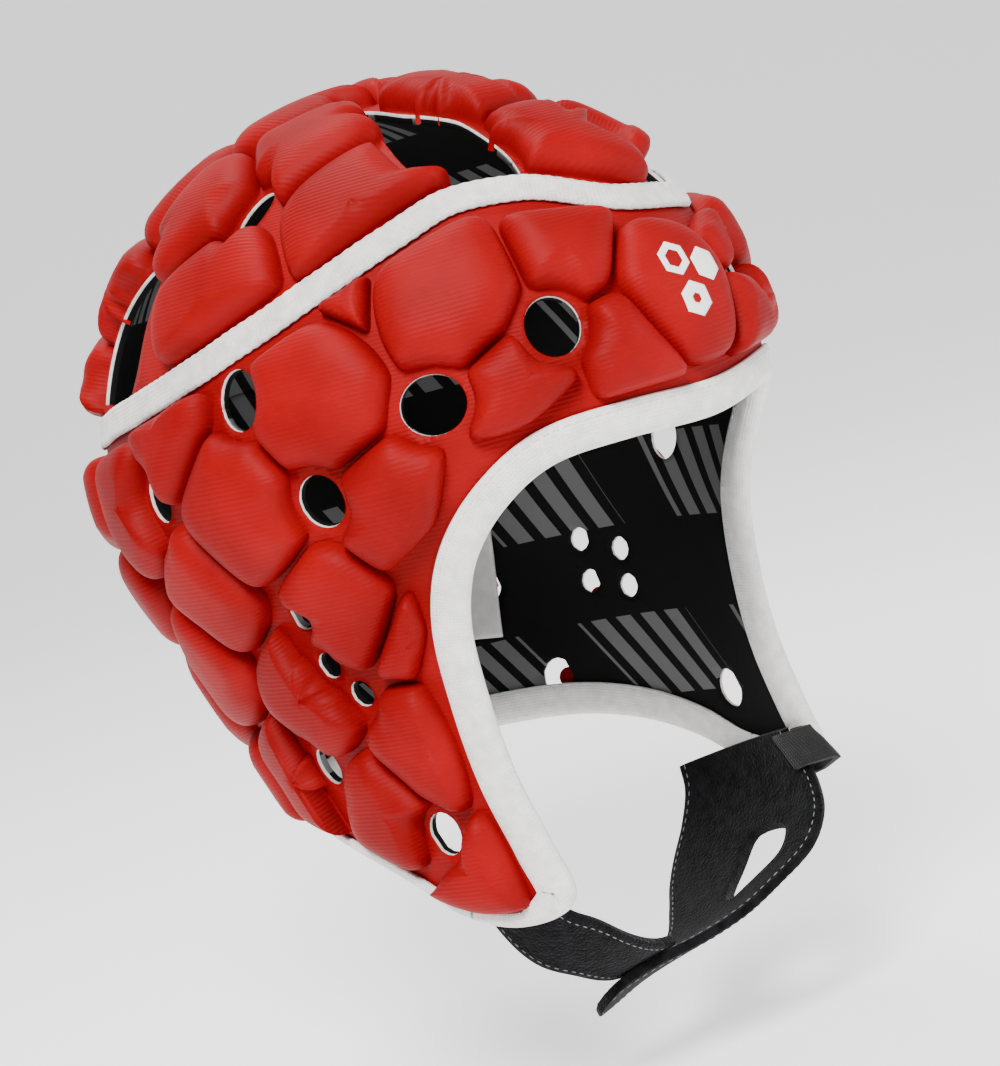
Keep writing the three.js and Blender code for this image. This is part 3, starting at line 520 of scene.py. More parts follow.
# %% Pads of each panel
CROWN_PADS = [  # turn, fall, grow
    (110, 9, 0), (54, 48, 3), (71, 27, 0), (87, 57, 2), (97, 37, 0), (146, 31, 0),
    (143, 50, 0), (146, 68, -2), (168, 63, 0),
]
SIDE_PADS = [  # turn, fall, grow
    (20, 65, -2), (43, 67, 4), (59, 64, -9), (68, 77, 4), (99, 78, -2), (17, 83, -3), (35, 84, -1),
    (87, 93, 3), (59, 98, 2), (115, 89, 0), (77, 111, 1), (102, 105, 0), (67, 119, -6), (93, 125, 1),
    (74, 137, 2), (90, 146, -1), (111, 140, 0), (78, 158, -2), (117, 119, 0), (138, 88, 1), (134, 106, 1),
    (141, 127, 2), (133, 144, -1), (163, 92, 1), (162, 142, 0),
]
MIDDLE_PADS = [(0, 76, 4), (180, 113, 3)]
DART_PADS = [(0, 45, 0), (0, 22, 0)]  # on the strip between the front darts
SAG = {"turn": 105, "fall": 122, "spread_turn": 42, "spread_fall": 34, "back": 15, "down": 9}
REACH, LEAST = 25, 3  # the most that a pad goes from its middle, and the least distance to a wall
ROUNDNESS = 8  # how square the corners of a pad are
WALL_APART = 13  # between the places where a run is read beside its nearest point
STATIONS, BINDING_STATION = 22, 14  # the face binding ends, and the neck binding starts, at this station
NARROWING = (9.3, 9.9)  # the ribs between which the binding's outer side narrows
FLAP_CORNER = 8.8  # the rib where the face edge turns under the flap
BITE = {"rim": 0.9, "soft": 3.5}  # flat rim round an opening, and how far off it still dents a pad


def sagged(turn, fall):
    """The left side of this soft cap hangs lower and further back round the ear."""
    share = math.exp(-((turn - SAG["turn"]) / SAG["spread_turn"]) ** 2
                     - ((fall - SAG["fall"]) / SAG["spread_fall"]) ** 2)
    return turn + SAG["back"] * share, dipped(turn, fall) + SAG["down"] * share


def both_halves(table):
    mirrored = [(-turn, fall, grow) for turn, fall, grow in table]
    return mirrored + [(*sagged(turn, fall), grow) for turn, fall, grow in table]


print("pads told", len(CROWN_PADS), len(SIDE_PADS), len(MIDDLE_PADS), len(DART_PADS))

# %% [markdown]
# On the real cap the channels between pads are narrow and even, and outlines drawn by hand would make them
# wander. Here each neighbour, the seam and the lower edge is a straight wall, half way to it or a margin
# off it, so a pad fills the room that it has.

# %% Walls round a pad
run_places = (np.arange(240) / 240 - 0.5) * 2 * LAST_RIB
seam_run, edge_run = at(*seam_place(run_places), LAMINATE), at(*edge_place(run_places), LAMINATE)


def binding_over(place):
    """Width of the binding's outer side: it narrows round the flap's tip, where the pads hang over it."""
    return np.interp(np.abs(place), NARROWING, (BINDING["width"], BINDING["neck"]))


def run_walls(pad, run, margin_at):
    """Walls that keep a pad off the seam or the edge: at its nearest point, and on each side of that."""
    distance = np.linalg.norm(run - pad["origin"], axis=1)
    nearest = distance.argmin()
    direction = unit(to_local(pad, run[nearest]))
    margin = float(margin_at(run_places[nearest]))
    walls = [(*direction, max(distance[nearest] - margin, LEAST))]
    for way in (-1, 1):
        i = nearest
        while np.linalg.norm(run[i] - run[nearest]) < WALL_APART:
            i = (i + way) % len(run)
        here, after = to_local(pad, run[i]), to_local(pad, run[(i + 1) % len(run)])
        side = unit(np.array([after[1] - here[1], here[0] - after[0]]))
        side = side if side @ here > 0 else -side
        if np.linalg.norm(here) < REACH * 1.5:
            walls.append((*side, max(side @ here - float(margin_at(run_places[i])), LEAST)))
    return walls


def face_wall(pad):
    """The wall that keeps the flap's last pad off the face binding, past the corner of its lower edge."""
    distance = np.linalg.norm(edge_run - pad["origin"], axis=1)
    if abs(run_places[distance.argmin()]) < FLAP_CORNER:
        return []
    fore = edge_run[np.abs(run_places) < FLAP_CORNER]
    gaps = np.linalg.norm(fore - pad["origin"], axis=1)
    if gaps.min() > REACH:
        return []
    return [(*unit(to_local(pad, fore[gaps.argmin()])), max(gaps.min() - BINDING["width"] - 1.5, LEAST))]


def pad_walls(pad, pads, lower):
    walls = []
    for other in pads:
        gap = np.linalg.norm(other["origin"] - pad["origin"])
        if other is pad or gap > 3 * REACH:
            continue
        direction = unit(to_local(pad, other["origin"]))
        walls.append((*direction, max((gap + pad["grow"] - other["grow"]) / 2 - CHANNEL / 2, LEAST)))
    walls += run_walls(pad, seam_run, lambda place: TAPE["width"] / 2 + CLEAR)
    if lower:
        walls += run_walls(pad, edge_run, lambda place: binding_over(place) * 1.25 - 1.6)
        walls += face_wall(pad)
    return np.array(walls)


print("a pad stays", TAPE["width"] / 2 + CLEAR, "mm off the seam")

# %% [markdown]
# A pad's corners are soft, and a hole beside it dents its edge. Bevelled polygons could do for the corners,
# but a high power mean of the walls rounds all of them at once, and takes in the openings as one more
# limit.

# %% Outline of a pad
def bitten(pad, openings, angles):
    """How far a pad may go each way before it meets an opening, which bites a round piece out of it."""
    most = np.full(len(angles), 3.0 * REACH)
    way = np.stack([np.cos(angles), np.sin(angles)], -1)
    for outline in openings:
        if np.linalg.norm(outline - pad["origin"], axis=1).min() > 1.4 * REACH:
            continue
        flat = to_local(pad, outline)
        along = way @ flat.T
        across = np.abs(way[:, :1] * flat[:, 1] - way[:, 1:] * flat[:, 0])
        near = BITE["rim"] + 1.2
        straight = along - np.sqrt(np.clip(near**2 - across**2, 0, None))
        beside = np.clip((across - near) / BITE["soft"], 0, 1)
        clear = 60 * (across > near + BITE["soft"])
        limit = np.where(along > 0, straight * (1 + 1.5 * beside**2) + clear, 3 * REACH)
        most = np.minimum(most, limit.min(1))
    return np.maximum(most, LEAST)


def reach(pad, angles):
    """How far a pad goes in each direction."""
    walls = pad["walls"]
    push = np.maximum(np.cos(angles)[:, None] * walls[:, 0] + np.sin(angles)[:, None] * walls[:, 1], 0)
    soft = ((push / walls[:, 2]) ** ROUNDNESS).sum(1) + REACH**-ROUNDNESS
    spokes = np.linspace(0, 2 * np.pi, len(pad["bites"]) + 1)
    bite = np.interp(np.mod(angles, 2 * np.pi), spokes, np.append(pad["bites"], pad["bites"][0]))
    return (soft + bite ** -float(ROUNDNESS)) ** (-1 / ROUNDNESS)


def make_pads(table, openings, lower):
    pads = []
    for turn, fall, grow in table:
        pads.append({**frame_at(turn, fall), "grow": grow})
    outlines = [at_chart(outline, np.full(len(outline), LAMINATE)) for outline in openings]
    for pad in pads:
        pad["walls"] = pad_walls(pad, pads, lower)
        pad["bites"] = bitten(pad, outlines, np.linspace(0, 2 * np.pi, 180, endpoint=False))
    return pads


crown_pads = make_pads(both_halves(CROWN_PADS) + DART_PADS, crown_openings, False)
side_pads = make_pads(both_halves(SIDE_PADS) + MIDDLE_PADS, side_openings, True)
print(len(crown_pads), "crown pads,", len(side_pads), "side pads")

# %% [markdown]
# Pressed foam has a steep side, a round shoulder and a gently crowned top. Displacing a grid would blur the
# side, so each pad is lofted from rings that run in from its rim, and starts with a skirt that lies on the
# laminate. A little noise keeps the foam from looking machined.

# %% Pad shape
SPOKES = 64
RIM_DIGITS = 6  # of a rim's lengths, so that rounding noise can't change a corner from run to run
PROFILE = [  # how far in from the rim, and how high as a share of the pad
    (-0.3, -0.3), (-0.3, 0.0), (-0.15, 0.14), (0.05, 0.28), (0.35, 0.42), (0.8, 0.55), (1.5, 0.68),
    (2.5, 0.79), (3.9, 0.885), (5.6, 0.955), (7.6, 1.0),
]
INNER_SHARES = [0.75, 0.5, 0.25]  # of the last ring
LUMP = {"size": 24.0, "height": 0.45}


def pad_height(pad, inset, rim, radius):
    """Height of a pad's skin above the laminate, in from its rim."""
    tall = PAD * pad["tall"]
    table = np.array(PROFILE)
    base = np.interp(inset, table[:, 0] * pad["shrink"], table[:, 1])
    crown = 0.09 * np.clip(1 - (radius / np.maximum(rim, 1e-6)) ** 2, 0, 1)
    return tall * (base + crown)


def pad_rings(pad):
    angles = np.linspace(0, 2 * np.pi, SPOKES, endpoint=False)
    rim = reach(pad, angles).round(RIM_DIGITS)
    pad["tall"] = min(1.0, 0.5 + rim.mean() / 24)
    pad["shrink"] = min(1.0, rim.mean() / 13)
    insets = [inset * pad["shrink"] for inset, _ in PROFILE]
    radii = [np.maximum(rim - inset, rim * 0.3 if inset > 0 else 0) for inset in insets]
    radii += [radii[-1] * share for share in INNER_SHARES]
    around = np.stack([np.cos(angles), np.sin(angles)], -1)
    flat = np.concatenate([r[:, None] * around for r in radii] + [[[0, 0]]])
    radius = np.concatenate([*radii, [0]])
    rims = np.concatenate([np.tile(rim, len(radii)), [rim.mean()]])
    return flat, radius, rims


def lay_on_pad(pad, flat, radius, rims, lift=0.0):
    chart = settle(to_world(pad, flat), pad["normal"], pad["chart"])
    height = pad_height(pad, rims - radius, rims, radius)
    spots = chart_lining(chart)
    lumps = np.array([noise.noise((spot / LUMP["size"]).tolist()) for spot in spots])
    inside = np.clip(height / PAD, 0, 1)
    return chart, at_chart(chart, LAMINATE + height + lumps * LUMP["height"] * inside + lift)


print("rings of a pad", len(PROFILE) + len(INNER_SHARES))

# %% [markdown]
# On the real cap pads and cloth are pressed into one. A Boolean union would weld them and ruin the even
# squares. Here each pad is a small closed loft whose skirt and base lie inside the laminate, and all of
# them join the shell in one mesh.

# %% Mesh of a panel
def pad_mesh(pad):
    flat, radius, rims = pad_rings(pad)
    chart, points = lay_on_pad(pad, flat, radius, rims)
    rings = (len(flat) - 1) // SPOKES
    r, c = np.meshgrid(np.arange(rings - 1), np.arange(SPOKES), indexing="ij")
    a, b = r * SPOKES + c, r * SPOKES + (c + 1) % SPOKES
    faces = np.stack([a, b, b + SPOKES, a + SPOKES], -1).reshape(-1, 4)
    top, spoke = len(flat) - 1, np.arange(SPOKES)
    last = (rings - 1) * SPOKES
    after, middle = (spoke + 1) % SPOKES, np.full(SPOKES, top)
    fan = np.stack([last + spoke, last + after, middle, middle], 1)
    under = np.full(SPOKES, len(flat))
    base = np.stack([after, spoke, under, under], 1)
    points = np.vstack([points, pad["origin"] - pad["normal"] * 0.5])
    cloth = cloth_place(np.vstack([chart, pad["chart"]]))
    return points, np.vstack([faces, fan, base]), cloth


def panel(name, places, faces, pads, materials):
    points, all_faces, slots, cloth = shell(places, faces)
    points, all_faces, slots, cloth = [points], [all_faces], [slots], [cloth]
    count = len(points[0])
    for pad in pads:
        pad_points, pad_faces, pad_cloth = pad_mesh(pad)
        points.append(pad_points)
        all_faces.append(pad_faces + count)
        slots.append(np.full(len(pad_faces), OUTER))
        cloth.append(pad_cloth)
        count += len(pad_points)
    obj = make_object(name, np.vstack(points), np.vstack(all_faces), np.concatenate(slots), materials,
                      np.vstack(cloth))
    print(name, len(obj.data.polygons), "faces")
    return obj


print("a pad has", len(pad_mesh(side_pads[0])[1]), "faces")

# %% [markdown]
# Every finish here is made of nodes. Each cloth could be one long tree of its own, but all of them share a
# few steps, so those are helpers: a shader with its roughness and sheen, coordinates in metres from the
# cloth or from the object, two mottled tones, and a bump.

# %% Node helpers
def node_material(name, color, roughness, sheen=0.0, gloss=0.3):
    material = bpy.data.materials.new(name)
    material.use_nodes = True
    nodes = material.node_tree.nodes
    shader = nodes["Principled BSDF"]
    shader.inputs["Base Color"].default_value = (*color, 1)
    shader.inputs["Roughness"].default_value = roughness
    shader.inputs["Sheen Weight"].default_value = sheen
    shader.inputs["Sheen Roughness"].default_value = 0.4
    shader.inputs["Specular IOR Level"].default_value = gloss
    return material, nodes, material.node_tree.links, shader


def add_node(nodes, kind, **values):
    node = nodes.new(kind)
    for key, value in values.items():
        if hasattr(node, key):
            setattr(node, key, value)
        else:
            node.inputs[key.replace("_", " ")].default_value = value
    return node


def scaled_coords(nodes, links, source, scale):
    """Coordinates from the cloth or from the object, scaled to a pattern's size."""
    if source == "cloth":
        start = add_node(nodes, "ShaderNodeUVMap", uv_map="cloth").outputs["UV"]
    else:
        start = nodes.new("ShaderNodeTexCoord").outputs["Object"]
    mapping = nodes.new("ShaderNodeMapping")
    mapping.inputs["Scale"].default_value = scale
    links.new(start, mapping.inputs["Vector"])
    return mapping.outputs["Vector"]


def mottle(nodes, links, shader, color, darker, size):
    """Two tones of the colour, mixed by soft noise of a size in metres."""
    texture = add_node(nodes, "ShaderNodeTexNoise", Scale=1.0, Detail=4.0)
    links.new(scaled_coords(nodes, links, "object", (1 / size,) * 3), texture.inputs["Vector"])
    mix = nodes.new("ShaderNodeMix")
    mix.data_type = "RGBA"
    mix.inputs["A"].default_value = (*darker, 1)
    mix.inputs["B"].default_value = (*color, 1)
    span = add_node(nodes, "ShaderNodeMapRange")
    span.inputs["From Min"].default_value = 0.35
    span.inputs["From Max"].default_value = 0.65
    links.new(texture.outputs["Fac"], span.inputs["Value"])
    links.new(span.outputs["Result"], mix.inputs["Factor"])
    links.new(mix.outputs["Result"], shader.inputs["Base Color"])


def bump(nodes, links, shader, height, depth, strength, under=None):
    node = nodes.new("ShaderNodeBump")
    node.inputs["Distance"].default_value = depth
    node.inputs["Strength"].default_value = strength
    links.new(height, node.inputs["Height"])
    if under is not None:
        links.new(under.outputs["Normal"], node.inputs["Normal"])
    links.new(node.outputs["Normal"], shader.inputs["Normal"])
    return node


print("helpers make a shader, coordinates, two tones and a bump")

# %% [markdown]
# The outer cloth is a bright red jersey with fine ribs that run round the cap and a little unevenness in
# its dye. Ribs a millimetre wide could be modelled, but as bump they cost nothing: a wave on the cloth's
# own coordinates. The base colour is dark and hardly shines, because a strong red turns pale under studio
# light.

# %% Knit
RIB_PITCH = 0.0011


def knit_material():
    material, nodes, links, shader = node_material("red knit", (0.22, 0.0, 0.002), 0.55, gloss=0.08)
    mottle(nodes, links, shader, (0.24, 0.0, 0.002), (0.17, 0.0, 0.001), 0.03)
    soft = add_node(nodes, "ShaderNodeTexNoise", Scale=1.0, Detail=3.0)
    links.new(scaled_coords(nodes, links, "object", (1 / 0.006,) * 3), soft.inputs["Vector"])
    first = bump(nodes, links, shader, soft.outputs["Fac"], 0.0004, 0.3)
    ribs = nodes.new("ShaderNodeTexWave")
    ribs.bands_direction = "Y"
    ribs.inputs["Scale"].default_value = 1.0
    ribs.inputs["Distortion"].default_value = 0.6
    ribs.inputs["Detail"].default_value = 1.0
    pitch = math.tau / 20 / RIB_PITCH  # the wave's own lines lie a twentieth of a turn apart
    links.new(scaled_coords(nodes, links, "cloth", (pitch, pitch, pitch)), ribs.inputs["Vector"])
    bump(nodes, links, shader, ribs.outputs["Fac"], 0.00014, 0.4, first)
    return material


knit = knit_material()
print("ribs of the knit", RIB_PITCH / MM, "mm apart")

# %% [markdown]
# Tape, bindings and tab are woven, so two crossed waves make their bump. Fleece, thread and print show no
# clear weave, and soft noise does for them. Both kinds are one function each, called with the colours, the
# size of the pattern and the roughness of each cloth.

# %% Woven and plain cloth


def weave_material(name, color, darker, pitch, roughness, depth=0.00025):
    """Plain weave: two crossed waves on the strip's own coordinates."""
    material, nodes, links, shader = node_material(name, color, roughness, 0.1)
    mottle(nodes, links, shader, color, darker, 0.004)
    scale = math.tau / 20 / pitch
    coords = scaled_coords(nodes, links, "cloth", (scale, scale, scale))
    waves = []
    for direction in ("X", "Y"):
        wave = nodes.new("ShaderNodeTexWave")
        wave.bands_direction = direction
        wave.inputs["Scale"].default_value = 1.0
        wave.inputs["Distortion"].default_value = 0.8
        wave.inputs["Detail"].default_value = 2.0
        links.new(coords, wave.inputs["Vector"])
        waves.append(wave)
    cross = nodes.new("ShaderNodeMath")
    cross.operation = "MULTIPLY"
    links.new(waves[0].outputs["Fac"], cross.inputs[0])
    links.new(waves[1].outputs["Fac"], cross.inputs[1])
    bump(nodes, links, shader, cross.outputs["Value"], depth, 0.7)
    return material


def plain_cloth(name, color, darker, roughness, size, depth, sheen=0.1, gloss=0.3):
    material, nodes, links, shader = node_material(name, color, roughness, sheen, gloss)
    mottle(nodes, links, shader, color, darker, size * 4)
    texture = add_node(nodes, "ShaderNodeTexNoise", Scale=1.0, Detail=5.0)
    links.new(scaled_coords(nodes, links, "object", (1 / size,) * 3), texture.inputs["Vector"])
    bump(nodes, links, shader, texture.outputs["Fac"], depth, 0.6)
    return material


tape_cloth = weave_material("woven tape", (0.72, 0.71, 0.68), (0.58, 0.57, 0.55), 0.0011, 0.85)
binding_cloth = weave_material("white binding", (0.78, 0.77, 0.74), (0.66, 0.65, 0.63), 0.0009, 0.8)
cut_edge = plain_cloth("cut edge", (0.62, 0.60, 0.57), (0.42, 0.40, 0.38), 0.9, 0.0007, 0.0003)
fleece = plain_cloth("black fleece", (0.007, 0.007, 0.008), (0.002, 0.002, 0.002), 0.95, 0.0009, 0.0012,
                     sheen=0.08, gloss=0.06)
webbing = weave_material("black webbing", (0.008, 0.008, 0.009), (0.004, 0.004, 0.004), 0.0012, 0.8)
label_cloth = weave_material("label cloth", (0.66, 0.65, 0.63), (0.58, 0.57, 0.55), 0.0005, 0.55, 0.0001)
thread_white = plain_cloth("white thread", (0.75, 0.74, 0.72), (0.6, 0.6, 0.58), 0.6, 0.0005, 0.0001)
thread_grey = plain_cloth("grey thread", (0.22, 0.22, 0.23), (0.14, 0.14, 0.15), 0.6, 0.0005, 0.0001)
badge_print = plain_cloth("white print", (0.85, 0.84, 0.82), (0.78, 0.77, 0.75), 0.45, 0.002, 0.00005)
print(len(bpy.data.materials), "materials so far")

# %% [markdown]
# The lining is black jersey with a grey print. The print could be faces of its own, but sums on the cloth's
# coordinates draw it without any, and it bends with the cloth: staggered groups of slanted bars.

# %% Lining


PRINT = {"wide": 0.062, "high": 0.05, "bar": 0.009, "lean": 0.45, "grey": 0.11}
PRINT_SHARES = {"shift": 0.37, "group": 0.33, "bar": 0.3, "tall": 0.24}
BLACK = (0.004, 0.004, 0.004)


def lining_material():
    """Black jersey with staggered groups of slanted grey bars."""
    material, nodes, links, shader = node_material("black lining", BLACK, 0.9, gloss=0.1)

    def calculate(operation, first, second=0):
        node = nodes.new("ShaderNodeMath")
        node.operation = operation
        for socket, value in zip(node.inputs, (first, second)):
            if isinstance(value, (int, float)):
                socket.default_value = value
            else:
                links.new(value, socket)
        return node.outputs["Value"]

    apart = nodes.new("ShaderNodeSeparateXYZ")
    links.new(scaled_coords(nodes, links, "cloth", (1, 1, 1)), apart.inputs["Vector"])
    rows_down = calculate("DIVIDE", apart.outputs["Y"], PRINT["high"])
    row = calculate("FLOOR", rows_down)
    up = calculate("SUBTRACT", rows_down, row)
    shift = calculate("MULTIPLY", row, PRINT["wide"] * PRINT_SHARES["shift"])
    lean = calculate("MULTIPLY", up, PRINT["high"] * PRINT["lean"])
    leaning = calculate("ADD", calculate("ADD", apart.outputs["X"], shift), lean)
    across = calculate("PINGPONG", leaning, PRINT["wide"] / 2)
    stripe = calculate("PINGPONG", leaning, PRINT["bar"] / 2)
    in_group = calculate("LESS_THAN", across, PRINT["wide"] * PRINT_SHARES["group"])
    in_bar = calculate("LESS_THAN", stripe, PRINT["bar"] * PRINT_SHARES["bar"])
    from_middle = calculate("ABSOLUTE", calculate("SUBTRACT", up, 0.5))
    tall = calculate("LESS_THAN", from_middle, PRINT_SHARES["tall"])
    printed = calculate("MULTIPLY", calculate("MULTIPLY", in_group, in_bar), tall)
    mix = nodes.new("ShaderNodeMix")
    mix.data_type = "RGBA"
    mix.inputs["A"].default_value = (*BLACK, 1)
    mix.inputs["B"].default_value = (PRINT["grey"],) * 3 + (1,)
    links.new(printed, mix.inputs["Factor"])
    links.new(mix.outputs["Result"], shader.inputs["Base Color"])
    return material


lining_cloth = lining_material()
print(len(bpy.data.materials), "materials")

# %% [markdown]
# The cap's red body is two moulded panels that meet at the seam, the crown and the side. Cloth and pads
# could be separate objects, but on the real cap they are pressed into one. So each panel is one mesh, its
# shell and then its pads, with outer cloth, lining and cut edge as its finishes.

# %% The two panels
FINISHES = [knit, lining_cloth, cut_edge]
crown = panel("crown_cloth", crown_places, crown_faces, crown_pads, FINISHES)
side = panel("side_cloth", side_places, side_faces, side_pads, FINISHES)
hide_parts("crown_panel")
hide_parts("side_panel")
for cloth_piece in (crown, side):
    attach(cloth_piece, "root")

# %% [markdown]
# The trims are narrow woven strips sewn over the seam and the edges. A curve with a bevel would roll over
# in tight bends. Lofting a section along points of the skin keeps a strip flat on the cloth, and
# coordinates that run along and across it let the weave follow every bend.

# %% Strips of cloth


def arc_lengths(points):
    steps = np.linalg.norm(np.diff(points, axis=0), axis=1)
    return np.concatenate([[0], np.cumsum(steps)])


def strip_object(name, rings, material, loop):
    """A skin through rings of points, with the ends closed by rungs between its two sides."""
    rings = np.asarray(rings)
    count, size = rings.shape[:2]
    bands = count if loop else count - 1
    r, i = np.meshgrid(np.arange(bands), np.arange(size), indexing="ij")
    a, b = r * size + i, r * size + (i + 1) % size
    c, d = ((r + 1) % count) * size + (i + 1) % size, ((r + 1) % count) * size + i
    faces = np.stack([a, b, c, d], -1).reshape(-1, 4).tolist()
    if not loop:
        end = (count - 1) * size
        for k in range(size // 2 - 1):
            far, before = size - 1 - k, size - 2 - k
            faces.append([k, far, before, k + 1])
            faces.append([end + k, end + k + 1, end + before, end + far])
    along = np.repeat(arc_lengths(rings[:, 0]), size)
    section = np.concatenate([[0], np.cumsum(np.linalg.norm(np.diff(rings[count // 2], axis=0), axis=1))])
    coords = np.stack([along, np.tile(section, count)], -1)
    obj = make_object(name, rings.reshape(-1, 3), np.array(faces), np.zeros(len(faces)), [material])
    corner = np.empty(len(obj.data.loops), np.int32)
    obj.data.loops.foreach_get("vertex_index", corner)
    obj.data.uv_layers.new(name="cloth").data.foreach_set("uv", (coords[corner] * MM).ravel())
    return obj


def section_rings(place_of, places, section):
    """Rings of a strip from the section's offsets and heights, one set for each place."""
    return np.stack([beside_run(place_of, places, np.full(len(places), offset), height)
                     for offset, height in section], 1)


print("a strip is lofted from rings of points")

# %% [markdown]
# The tape covers the seam between the panels. It has two raised borders and is drawn in a little at each
# stitch. A texture could suggest that scalloped edge, but it shows at the outline, so it is in the mesh.

# %% Tape
TAPE_STEPS = 620
tape_places = (np.arange(TAPE_STEPS) / TAPE_STEPS - 0.5) * 2 * LAST_RIB
half = TAPE["width"] / 2
low = LAMINATE + CLEAR
tape_section = [  # offset from the seam, height above the lining
    (-half, low + 0.5), (-half + 0.3, low + 1.1), (-half + 1.3, low + 1.3), (-half * 0.35, low + 1.0),
    (half * 0.35, low + 1.0), (half - 1.3, low + 1.3), (half - 0.3, low + 1.1), (half, low + 0.5),
    (half - 0.4, low - 0.1), (half * 0.5, low - 0.1), (0.9, low - 0.1), (-0.9, low - 0.1),
    (-half * 0.5, low - 0.1), (-half + 0.4, low - 0.1),
]
tape_rings = section_rings(seam_place, tape_places, tape_section)
SCALLOP = {"pitch": 3.1, "depth": 0.12}
length = arc_lengths(tape_rings[:, 0])
wave = np.sin(length / SCALLOP["pitch"] * 2 * np.pi) * SCALLOP["depth"]
wander = np.array([noise.noise((float(s) / 17, 3.1, 0)) for s in length]) * 0.45
down = unit(tape_rings[:, 7] - tape_rings[:, 0])
tape_rings = tape_rings + (down * wander[:, None])[:, None]
tape_rings[:, 6:9] += (down * wave[:, None])[:, None]
tape_rings[:, [13, 0, 1]] -= (down * wave[:, None])[:, None]
tape = strip_object("seam_tape", tape_rings, tape_cloth, True)
print("tape", round(length[-1]), "mm long")

# %% [markdown]
# A binding is folded over the cut edge and sewn through both sides. It could be a round tube, but the real
# one is flat on both sides, so its section is a round-backed C. It narrows under the flap's tip, where the
# last pad comes close to the edge.

# %% Bindings
BINDING_END = BINDING_STATION * LAST_RIB / STATIONS
END_GAP = 0.05
wall, slot, width = BINDING["wall"], BINDING["slot"], BINDING["width"]
over, under = LAMINATE + 0.35, -0.35


def binding(name, places):
    outer = binding_over(places)
    section = [  # offset, share of the outer side's width, height
        (0, -1, over), (slot * 0.4, 0, over), (slot * 0.7, 0, LAMINATE / 2), (slot * 0.4, 0, under),
        (-width * 0.5, 0, under), (-width, 0, under), (-width - 0.1, 0, under - wall * 0.5),
        (-width + 0.3, 0, under - wall), (-width * 0.55, 0, under - wall * 0.9),
        (-width * 0.15, 0, under - wall * 1.05), (slot * 0.9, 0, under - wall * 0.75),
        (slot + wall, 0, LAMINATE / 2 - 0.9), (slot + wall, 0, LAMINATE / 2 + 0.9),
        (slot * 0.9, 0, over + wall * 0.75), (0, -0.15, over + wall * 1.05), (0, -0.55, over + wall * 0.9),
        (0.3, -1, over + wall), (-0.1, -1, over + wall * 0.5),
    ]
    rings = np.stack([beside_run(edge_place, places, offset + part * outer, height)
                      for offset, part, height in section], 1)[:, ::-1]
    return strip_object(name, rings, binding_cloth, False)


face_places = np.linspace(-BINDING_END, BINDING_END, 380)
neck_places = np.linspace(BINDING_END + END_GAP, 2 * LAST_RIB - BINDING_END - END_GAP, 260)
face_binding = binding("face_edge", face_places)
neck_binding = binding("neck_edge", neck_places)
for piece, node, slot_name in (
    (tape, "crown_tape", "woven_tape"),
    (face_binding, "face_binding", "white_binding"),
    (neck_binding, "neck_binding", "white_binding"),
):
    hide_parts(node)
    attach(piece, "root")
    print(piece.name, len(piece.data.polygons), "faces")

# %% [markdown]
# The chin strap hangs as a loop: a wide fleece piece from the left flap, with an opening for the chin, and
# a narrow one from the right flap that closes over its end. A cloth simulation would find a lie of its own,
# and the photograph shows a certain one. So tables by the angle round the loop give each strap's centre,
# width, bow and tilt.

# %% Lie of the straps
STRAP = {"thick": 3, "span": 52.4, "middle": -31, "top": -200, "drop": 35}
STRAP_FAR = [  # angle, y, width, bow, tilt, how far it hangs below the loop
    (0, -31, 44, 4.4, 12, 0), (14, -32.5, 47, 3.2, 12, 0), (30, -35, 55, 1.6, 12, 0),
    (45, -38, 60, 1.2, 12, 0.5), (58, -40, 57, 1, 12, 2), (70, -41, 46, 0.8, 13, 3.5),
    (85, -42, 32, 0.4, 16, 6.5), (98, -38, 25, 0.2, 22, 9.5), (108, -33.5, 20, 0, 30, 11.5),
    (116, -31, 16, 0, 36, 13.5), (121, -30, 13, 0, 38, 15), (123, -29.7, 6, 0, 38, 15.6),
]
STRAP_NEAR = [
    (97, -37, 6, 0, 21.5, 8.9), (100, -37, 13, 0, 23.5, 9.5), (108, -37, 17, 0, 30, 11),
    (120, -38, 19.5, 0, 38, 12), (135, -37.5, 21.5, 0.2, 44, 10.5), (150, -35, 23, 0.4, 38, 7.5),
    (165, -32.5, 24, 0.6, 25, 3), (180, -30.5, 24, 0.8, 12, 0.5),
]
STRAP_HOLE = [  # angle, distance in front of the strap's middle
    (43, 8), (46, 15.5), (56, 16.5), (65, 11.5), (75, 4.5), (66, 0), (56, -0.5), (45, 1.5),
]
NEAR_ROOT = 9  # how far the narrow strap runs on up inside the tip of its flap
TUCK = STRAP["thick"] + 2 * CLEAR  # the narrow strap lies this far inside the wide one


def strap_frames(table, angles, tuck=0.0):
    y, width_, bow, tilt, low = read_table(table, angles).T
    a, tilt = np.radians(angles), np.radians(tilt)
    drop = STRAP["drop"] - tuck
    across = np.stack([np.zeros_like(a), -np.cos(tilt), np.sin(tilt)], -1)
    centre = np.stack([STRAP["span"] * np.cos(a), np.full_like(a, STRAP["middle"]),
                       STRAP["top"] - drop * np.sin(a) - low], -1)
    centre = centre + across * ((STRAP["middle"] - y) / np.cos(tilt))[:, None]
    along = unit(np.stack([-STRAP["span"] * np.sin(a), np.zeros_like(a), -drop * np.cos(a)], -1))
    normal = unit(np.cross(along, across))
    out = np.stack([np.cos(a), np.zeros_like(a), -np.sin(a)], -1)
    return centre, across, normal * np.sign((normal * out).sum(-1, keepdims=True)), width_, bow


